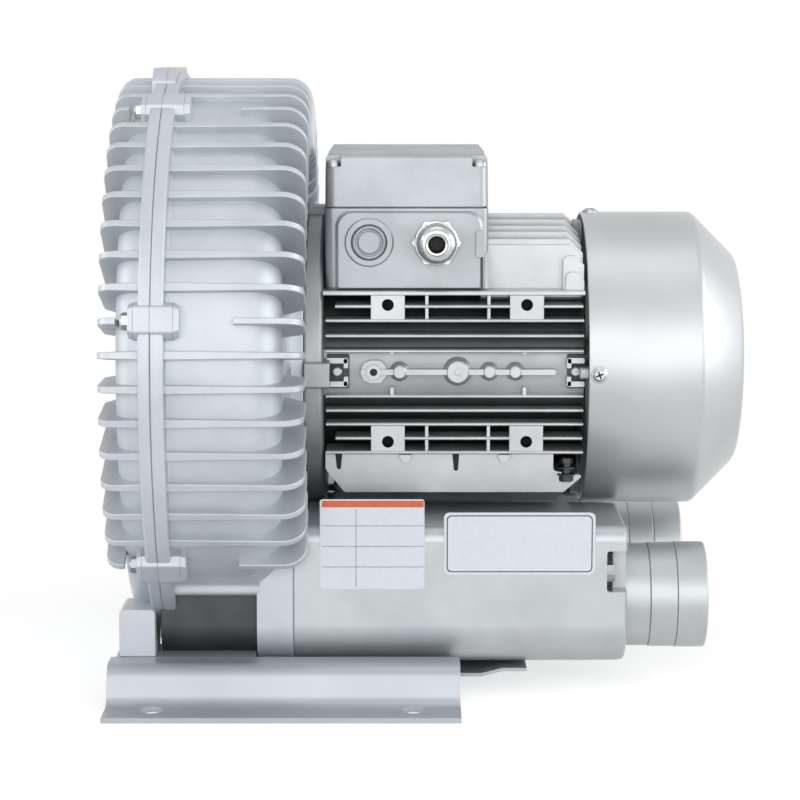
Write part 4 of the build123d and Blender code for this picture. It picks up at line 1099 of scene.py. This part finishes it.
def cable_gland():
    """Hexagon body of the gland, its fluted nut and the seal inside the nut."""
    place = shifted(toward_front(-PANEL_Y), GLAND_X, GLAND_Z)
    bm = bmesh.new()
    prism(bm, hexagon(14.0), place, 5.6)
    disc(bm, place, 12.7, 6.0, 48, 0.5)
    disc(bm, place, 9.6, 8.2, 48, 0.2)
    put("gland_body_turned", recalc(bm), finishes["nickel"],
        replaces=["gland_body"], bevel=0.5)
    bm = bmesh.new()
    # Radius, distance from the panel and depth of the flutes.
    nut = [(8.4, 8.0), (11.2, 8.0), (11.6, 8.6), (11.6, 9.2, 0.5), (11.4, 13.4, 0.5), (11.2, 14.4),
           (10.6, 16.2), (9.4, 17.8), (7.8, 18.7), (6.6, 18.9), (6.3, 18.2), (6.1, 18.7),
           (5.0, 18.4), (4.7, 17.0), (4.7, 8.0)]
    loft(bm, [grip_ring(place, *row) for row in nut], loop=True)
    put("gland_nut_turned", recalc(bm), finishes["nickel"], replaces=["gland_nut"])
    bm = bmesh.new()
    seal = [(4.75, 8.4), (4.75, 15.8), (4.5, 16.4), (4.3, 15.6), (4.2, 8.4)]
    loft(bm, [grip_ring(place, *row) for row in seal], loop=True)
    disc(bm, place, 4.5, 9.0, 40)
    put("gland_seal_ring", recalc(bm), finishes["rubber"])


def blanking_plug():
    """Painted plug with a raised rim and a raised middle."""
    place = shifted(toward_front(-PANEL_Y), PLUG_X, GLAND_Z)
    bm = bmesh.new()
    plug = [(9.7, 0.0), (9.7, 2.2), (9.0, 3.0), (8.2, 3.0), (7.5, 2.1), (6.9, 2.1), (6.2, 2.8),
            (5.6, 3.0)]
    loft(bm, [grip_ring(place, *row) for row in plug])
    put("blanking_plug_disc", recalc(bm), finishes["box_paint"],
        replaces=["blanking_plug"], bevel=0.25)


class BLOWER_OT_gland(bpy.types.Operator):
    """Cable gland with its fluted nut and seal, and the blanking plug"""
    bl_idname = "blower.gland"
    bl_label = "Cable gland and plug"

    def execute(self, context):
        cable_gland()
        blanking_plug()
        return {"FINISHED"}


# ---- silencers, labels and rails ----------------------------------------------------------
def on_port(side):
    """Placer for points at x, angle and radius round the axis of a hose port."""
    def place(x, angle, radius):
        a = math.radians(angle)
        return Vector((x, side * PORT_Y - radius * math.cos(a), PORT_Z + radius * math.sin(a)))
    return place


def silencer(side, name):
    """Silencer casting with its hose spigot and the pocket of its end screw."""
    bm = bmesh.new()
    rows = [(4.6, -1.0), (5.2, -0.35), (6.0, -0.1), (30, -0.1), (170, -0.2), (190, -0.4),
            (192.6, -0.9), (193.7, -2.2), (194, -4.0)]
    loft(bm, [[Vector((x, y, z)) for y, z in duct_outline(side, grow)] for x, grow in rows])
    # Hose spigot: a tube in three bands, open to the foam.
    bands = [(193.0, 29.9), (208.6, 29.9), (209.0, 29.4), (209.3, 30.3), (224.2, 30.35),
             (224.5, 29.8), (224.8, 30.65), (240.8, 30.7), (241.7, 30.2),
             (242.0, 29.0), (241.8, 27.6), (240.6, SPIGOT_R), (193.0, SPIGOT_R)]
    lathe(bm, bands, place=on_port(side))
    piece = put(f"{name}_silencer_casting", recalc(bm), finishes["silencer_paint"],
                replaces=[f"{name}_silencer"], smooth=35, bevel=0.5)
    # The pocket is open to the side and the end.
    bm = bmesh.new()
    pocket = rounded([(182.3, 61.5), (196, 61.5), (196, 85), (182.3, 85)], [1.5, 0, 0, 1.5], 3)
    prism(bm, pocket, toward_front(side * 109 + 8), 16)
    carve(piece, bm, crossing=True)


def silencer_inside(side, name):
    """Disc of painted shade at the bottom of the spigot, and the foam block with its square bore."""
    bm = bmesh.new()
    # Near-black disc: painted shade deep in the spigot.
    disc(bm, shifted(along_x(196), side * PORT_Y, PORT_Z), SPIGOT_R - 0.1, 1.0, 48)
    put(f"{name}_spigot_depth", recalc(bm), finishes["dark"])
    bm = bmesh.new()
    outer = duct_outline(side, -5.0)
    bore = box_outline(side * PORT_Y - 17, PORT_Z - 17, side * PORT_Y + 17, PORT_Z + 17, 6, 9)
    loft(bm, [[Vector((x, y, z)) for y, z in ring]
              for x, ring in ((14, outer), (186, outer), (186, bore), (14, bore))], loop=True)
    put(f"{name}_foam_block", recalc(bm), finishes["foam"],
        replaces=[f"{name}_silencer_foam"], bevel=0.6)


class BLOWER_OT_silencers(bpy.types.Operator):
    """Cast silencers with their banded hose spigots and end pockets, and the foam in them"""
    bl_idname = "blower.silencers"
    bl_label = "Silencers"

    def execute(self, context):
        for side, name in ((-1, "front"), (1, "rear")):
            silencer(side, name)
            silencer_inside(side, name)
        return {"FINISHED"}


class BLOWER_OT_labels(bpy.types.Operator):
    """Blank label films on the near silencer: an orange-topped one and a black-bordered one"""
    bl_idname = "blower.labels"
    bl_label = "Labels"

    def execute(self, context):
        def film(bm, x0, z0, x1, z1, lift, material, radius):
            """Layer of a label; lift is its height over the silencer's side."""
            prism(bm, box_outline(x0, z0, x1, z1, radius, 4),
                  toward_front(-PORT_Y - DUCT_SIDE - 0.02 - lift), 0.1, material=material)

        mats = [finishes[n] for n in ("film_white", "film_orange", "film_black", "film_grey")]
        bm = bmesh.new()
        # Heights are taken down from the motor axis.
        z = AXIS_Z
        film(bm, 20, z - 118.5, 79, z - 67, 0.0, 0, 1.6)
        film(bm, 21.2, z - 71.6, 78.6, z - 67.8, 0.1, 1, 0.6)
        film(bm, 40.2, z - 117.5, 40.6, z - 72.6, 0.1, 3, 0.1)
        for row in range(3):
            film(bm, 21.2, z - 82.4 - 11.8 * row, 78.6, z - 82.0 - 11.8 * row, 0.1, 3, 0.1)
        put("ruled_label", recalc(bm), mats, smooth=30)
        bm = bmesh.new()
        film(bm, 90, z - 110.4, 175.5, z - 74.6, 0.0, 0, 3)
        film(bm, 91.6, z - 108.8, 173.9, z - 76.2, 0.1, 2, 2.6)
        film(bm, 92.2, z - 108.2, 173.3, z - 76.8, 0.2, 0, 2.2)
        put("bordered_label", recalc(bm), mats, smooth=30)
        return {"FINISHED"}


RAIL_X = 99.0  # half length of a rail
RAIL_UNDER = RAIL_TOP - SHEET
FOOT_X, FOOT_Y, FOOT_R = 72.5, 153.0, 6.5
LEG_SCREW_X = -83.5
PLATE_X0, PLATE_Y, PLATE_SHEET = -50.0, 100.0, 2.0


def sheet_outline(line, thickness):
    """Outline of folded sheet from its middle line of (distance from the axis, height)."""
    upper, lower = [], []
    for i, point in enumerate(line):
        along = Vector(line[min(len(line) - 1, i + 1)]) - Vector(line[max(0, i - 1)])
        along.normalize()
        normal = Vector((along.y, -along.x))
        upper.append(Vector(point) + normal * thickness / 2)
        lower.append(Vector(point) - normal * thickness / 2)
    return [tuple(p) for p in upper + lower[::-1]]


def rail_line():
    """Middle line of a rail's fold, from the foot up to the top, with its bends rounded."""
    bends = [(170, SHEET / 2, 0), (142, SHEET / 2, 9), (135, RAIL_TOP - SHEET / 2, 8),
             (115.5, RAIL_TOP - SHEET / 2, 0)]
    return rounded([bend[:2] for bend in bends], [bend[2] for bend in bends], 10)


def foot_rail(side, name):
    """Folded rail with the tab that carries the cover's leg and two foot holes."""
    bm = bmesh.new()
    prism(bm, mirrored(side, sheet_outline(rail_line(), SHEET)), along_x(-RAIL_X), 2 * RAIL_X)
    # Tab under the cover's leg, with a shelf beside it that stops short of the silencer.
    tab = [(-96, 83), (-71, 83), (-71, 98), (-17, 98), (-17, 117), (-96, 117)]
    prism(bm, [(x, side * y) for x, y in tab], upward(RAIL_UNDER), SHEET)
    piece = put(f"{name}_rail_fold", recalc(bm), finishes["rail_paint"],
                replaces=[f"{name}_foot_rail"], smooth=30)
    for x in (-FOOT_X, FOOT_X):
        bm = bmesh.new()
        disc(bm, shifted(upward(-2), x, side * FOOT_Y), FOOT_R, 8, 40)
        carve(piece, bm, crossing=True)
    soften(piece, 0.5)


def cross_plate():
    """Joggled sheet under the silencers, with wings folded up under the rails."""
    bm = bmesh.new()
    joggle = [(PLATE_X0, 9), (112, 9), (124, 12), (138, 12), (138, 14), (124, 14), (112, 11),
              (PLATE_X0, 11)]
    prism(bm, joggle, lambda u, v, w: Vector((u, w - PLATE_Y, v)), 2 * PLATE_Y)
    low = RAIL_UNDER - PLATE_SHEET
    wing = [(98, 9), (100, 9), (120, low), (125, low), (125, RAIL_UNDER), (119, RAIL_UNDER), (98, 11)]
    for side in (-1, 1):
        prism(bm, mirrored(side, wing), along_x(PLATE_X0), 145)
    put("joggled_cross_plate", recalc(bm), finishes["rail_paint"],
        replaces=["cross_plate"], smooth=30)


def leg_screws():
    """Hexagon heads under the rails, of the screws into the cover's legs."""
    bm = bmesh.new()
    for side in (-1, 1):
        hex_head(bm, lambda u, v, w, s=side: Vector((LEG_SCREW_X + u, s * LEG_Y + v, RAIL_UNDER - w)),
                 7.5, 5.3)
    put("leg_screw_heads", recalc(bm), finishes["zinc"], replaces=["leg_screws"],
        smooth=30)


class BLOWER_OT_rails(bpy.types.Operator):
    """Folded foot rails with rounded bends and foot holes, and the cross plate between them"""
    bl_idname = "blower.rails"
    bl_label = "Foot rails"

    def execute(self, context):
        foot_rail(-1, "front")
        foot_rail(1, "rear")
        cross_plate()
        leg_screws()
        return {"FINISHED"}


# ---- carried-over pieces of the frame -----------------------------------------------------
KEPT = {
    "shaft": "turned_steel", "rotor_core": "laminations", "impeller": "cast_bare",
    "impeller_screw": "zinc", "cooling_fan": "nylon", "bearings": "turned_steel",
    "shaft_seal": "rubber", "stator_core": "laminations", "stator_windings": "copper",
    "terminal_board": "nylon", "terminal_studs": "zinc",
    "shield_screws": "zinc", "silencer_screws": "zinc",
}


class BLOWER_OT_kept(bpy.types.Operator):
    """Gives each carried-over solid of the frame its real material"""
    bl_idname = "blower.kept"
    bl_label = "Kept solids"

    def execute(self, context):
        for node, finish in KEPT.items():
            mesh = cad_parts[node].data
            mesh.materials.clear()
            mesh.materials.append(finishes[finish])
        return {"FINISHED"}


# ---- stage --------------------------------------------------------------------------------
CAMERA_AT = (0.0652, -1.530, 0.366)
CAMERA_DOWN = 7.83   # degrees
CAMERA_LENS = 114.75  # millimetres, on the sensor below
CAMERA_SENSOR = 36.0
AMBIENT = 0.32       # of the world, on matt surfaces
FLOOR_BOUNCE = 0.48  # of the far floor, on the underside of the blower
FLOOR_REACH = 6.0
SHADOW_FROM, SHADOW_TO = 0.22, 0.62  # the floor's shadow fades between them, metres
SHADOW_MIDDLE = (0.06, 0.0, 0.0)
# Name, place, point it looks at, width, height and watts.
LAMPS = (
    ("front_softbox", (0.1, -2.1, 0.6), (0.06, 0, 0.16), 3.2, 1.5, 31),
    ("top_softbox", (0.1, -0.2, 1.6), (0.06, 0, 0.15), 1.0, 0.6, 2),
    ("left_softbox", (-1.6, -0.5, 0.6), (0.0, 0, 0.18), 0.9, 1.0, 11),
    ("right_softbox", (1.6, -0.3, 0.6), (0.1, 0, 0.18), 0.9, 1.0, 14),
)


def seen_as_white(tree):
    """1 where the background is looked at, straight or in a reflection or through glass."""
    path = add(tree, "ShaderNodeLightPath")
    straight = add(tree, "ShaderNodeMath", {"operation": "MAXIMUM"})
    tree.links.new(path.outputs["Is Camera Ray"], straight.inputs[0])
    tree.links.new(path.outputs["Is Glossy Ray"], straight.inputs[1])
    both = add(tree, "ShaderNodeMath", {"operation": "MAXIMUM"})
    tree.links.new(straight.outputs["Value"], both.inputs[0])
    tree.links.new(path.outputs["Is Transmission Ray"], both.inputs[1])
    return both.outputs["Value"]


def white_sweep():
    """Matt white floor that keeps the blower's shadow; beyond it the sweep is plain white."""
    white = bpy.data.materials.new("white_sweep")
    white.use_nodes = True
    tree = white.node_tree
    tree.nodes.clear()
    out = add(tree, "ShaderNodeOutputMaterial")
    seen = seen_as_white(tree)
    matt = add(tree, "ShaderNodeBsdfDiffuse", Color=(0.6, 0.6, 0.6, 1))
    glow = add(tree, "ShaderNodeEmission", Color=(1, 1, 1, 1), Strength=spread(tree, seen, 0.0, 0.62))
    both = add(tree, "ShaderNodeAddShader")
    tree.links.new(matt.outputs["BSDF"], both.inputs[0])
    tree.links.new(glow.outputs["Emission"], both.inputs[1])
    place = add(tree, "ShaderNodeNewGeometry").outputs["Position"]
    away = add(tree, "ShaderNodeVectorMath", {"operation": "DISTANCE"}, Vector=place)
    away.inputs[1].default_value = SHADOW_MIDDLE
    fade = add(tree, "ShaderNodeMapRange", {"interpolation_type": "SMOOTHSTEP"},
               Value=away.outputs["Value"])
    fade.inputs["From Min"].default_value = SHADOW_FROM
    fade.inputs["From Max"].default_value = SHADOW_TO
    plain = add(tree, "ShaderNodeEmission", Color=(1, 1, 1, 1),
                Strength=spread(tree, seen, FLOOR_BOUNCE, 1.0))
    mixed = add(tree, "ShaderNodeMixShader", Fac=fade.outputs["Result"])
    tree.links.new(both.outputs["Shader"], mixed.inputs[1])
    tree.links.new(plain.outputs["Emission"], mixed.inputs[2])
    tree.links.new(mixed.outputs["Shader"], out.inputs["Surface"])
    return white


def make_floor(scene):
    """Floor under the blower, which is part of the stage and not of the object."""
    mesh = bpy.data.meshes.new("floor")
    r = FLOOR_REACH
    mesh.from_pydata([(-r, -r, 0), (r, -r, 0), (r, r, 0), (-r, r, 0)], [], [(0, 1, 2, 3)])
    floor = bpy.data.objects.new("floor", mesh)
    mesh.materials.append(white_sweep())
    scene.collection.objects.link(floor)


def make_world(scene):
    """Even white surroundings, weaker as a light than to the eye."""
    world = bpy.data.worlds.new("studio")
    scene.world = world
    world.use_nodes = True
    tree = world.node_tree
    background = tree.nodes["Background"]
    tree.links.new(spread(tree, seen_as_white(tree), AMBIENT, 1.0), background.inputs["Strength"])
    background.inputs["Color"].default_value = (1, 1, 1, 1)


def make_lamp(scene, name, at, look, width, height, power):
    """Rectangular softbox that faces a point."""
    light = bpy.data.lights.new(name, "AREA")
    light.shape = "RECTANGLE"
    light.size = width
    light.size_y = height
    light.energy = power
    lamp = bpy.data.objects.new(name, light)
    lamp.location = at
    lamp.rotation_euler = (Vector(look) - Vector(at)).to_track_quat("-Z", "Y").to_euler()
    scene.collection.objects.link(lamp)


def make_camera(scene):
    """Camera on the near side, which looks a little down on the blower."""
    camera = bpy.data.objects.new("camera", bpy.data.cameras.new("camera"))
    camera.location = CAMERA_AT
    camera.rotation_euler = (math.radians(90 - CAMERA_DOWN), 0, 0)
    camera.data.lens = CAMERA_LENS
    camera.data.sensor_width = CAMERA_SENSOR
    camera.data.clip_start = 0.05
    scene.collection.objects.link(camera)
    scene.camera = camera


class BLOWER_OT_stage(bpy.types.Operator):
    """White floor and backdrop, soft lamps and the camera"""
    bl_idname = "blower.stage"
    bl_label = "Stage"

    def execute(self, context):
        scene = context.scene
        make_floor(scene)
        make_world(scene)
        for lamp in LAMPS:
            make_lamp(scene, *lamp)
        make_camera(scene)
        scene.view_settings.view_transform = "Standard"
        return {"FINISHED"}


# ---- add-on -------------------------------------------------------------------------------
class BlowerLooks(bpy.types.PropertyGroup):
    """Sizes and colours of the blower that a user would change"""
    casting_colour: bpy.props.StringProperty(
        name="Casting colour", description="sRGB hex of the paint on the castings", default="#c0c6cb")
    casting_roughness: bpy.props.FloatProperty(
        name="Casting roughness", description="Roughness of the paint on the castings",
        default=0.56, min=0.1, max=1.0)
    cowl_colour: bpy.props.StringProperty(
        name="Cowl colour", description="sRGB hex of the lacquer on the fan cowl", default="#bfc2c4")
    shoulder: bpy.props.FloatProperty(
        name="Drum shoulder", description="Bend radius at the back of the drum", default=0.020,
        unit="LENGTH")
    fin_root: bpy.props.FloatProperty(
        name="Fin root", description="Thickness of a fin at its root", default=0.0046, unit="LENGTH")
    fin_tip: bpy.props.FloatProperty(
        name="Fin tip", description="Thickness of a fin at its tip", default=0.0034, unit="LENGTH")
    cowl_radius: bpy.props.FloatProperty(
        name="Cowl radius", description="Outer radius of the fan cowl", default=0.0875, unit="LENGTH")
    grille_slots: bpy.props.IntProperty(
        name="Grille slots", description="Slots round the end of the cowl", default=10, min=4, max=24)


PIECES = (BLOWER_OT_housing, BLOWER_OT_cover, BLOWER_OT_motor_frame, BLOWER_OT_shields,
          BLOWER_OT_cowl, BLOWER_OT_terminal_box, BLOWER_OT_gland, BLOWER_OT_silencers,
          BLOWER_OT_labels, BLOWER_OT_rails, BLOWER_OT_kept, BLOWER_OT_stage)


class BLOWER_PT_panel(bpy.types.Panel):
    """Lists the sizes and the pieces of the blower"""
    bl_idname = "BLOWER_PT_panel"
    bl_label = "Blower"
    bl_space_type = "VIEW_3D"
    bl_region_type = "UI"
    bl_category = "Blower"

    def draw(self, context):
        looks = context.scene.blower_looks
        for name in looks.__annotations__:
            self.layout.prop(looks, name)
        for piece in PIECES:
            self.layout.operator(piece.bl_idname)


CLASSES = (BlowerLooks,) + PIECES + (BLOWER_PT_panel,)


def register():
    for each in CLASSES:
        bpy.utils.register_class(each)
    bpy.types.Scene.blower_looks = bpy.props.PointerProperty(type=BlowerLooks)


def unregister():
    del bpy.types.Scene.blower_looks
    for each in reversed(CLASSES):
        bpy.utils.unregister_class(each)


def main():
    register()
    make_finishes(bpy.context.scene.blower_looks)
    for piece in PIECES:
        group, name = piece.bl_idname.split(".")
        getattr(getattr(bpy.ops, group), name)()


if __name__ == "__main__":
    main()
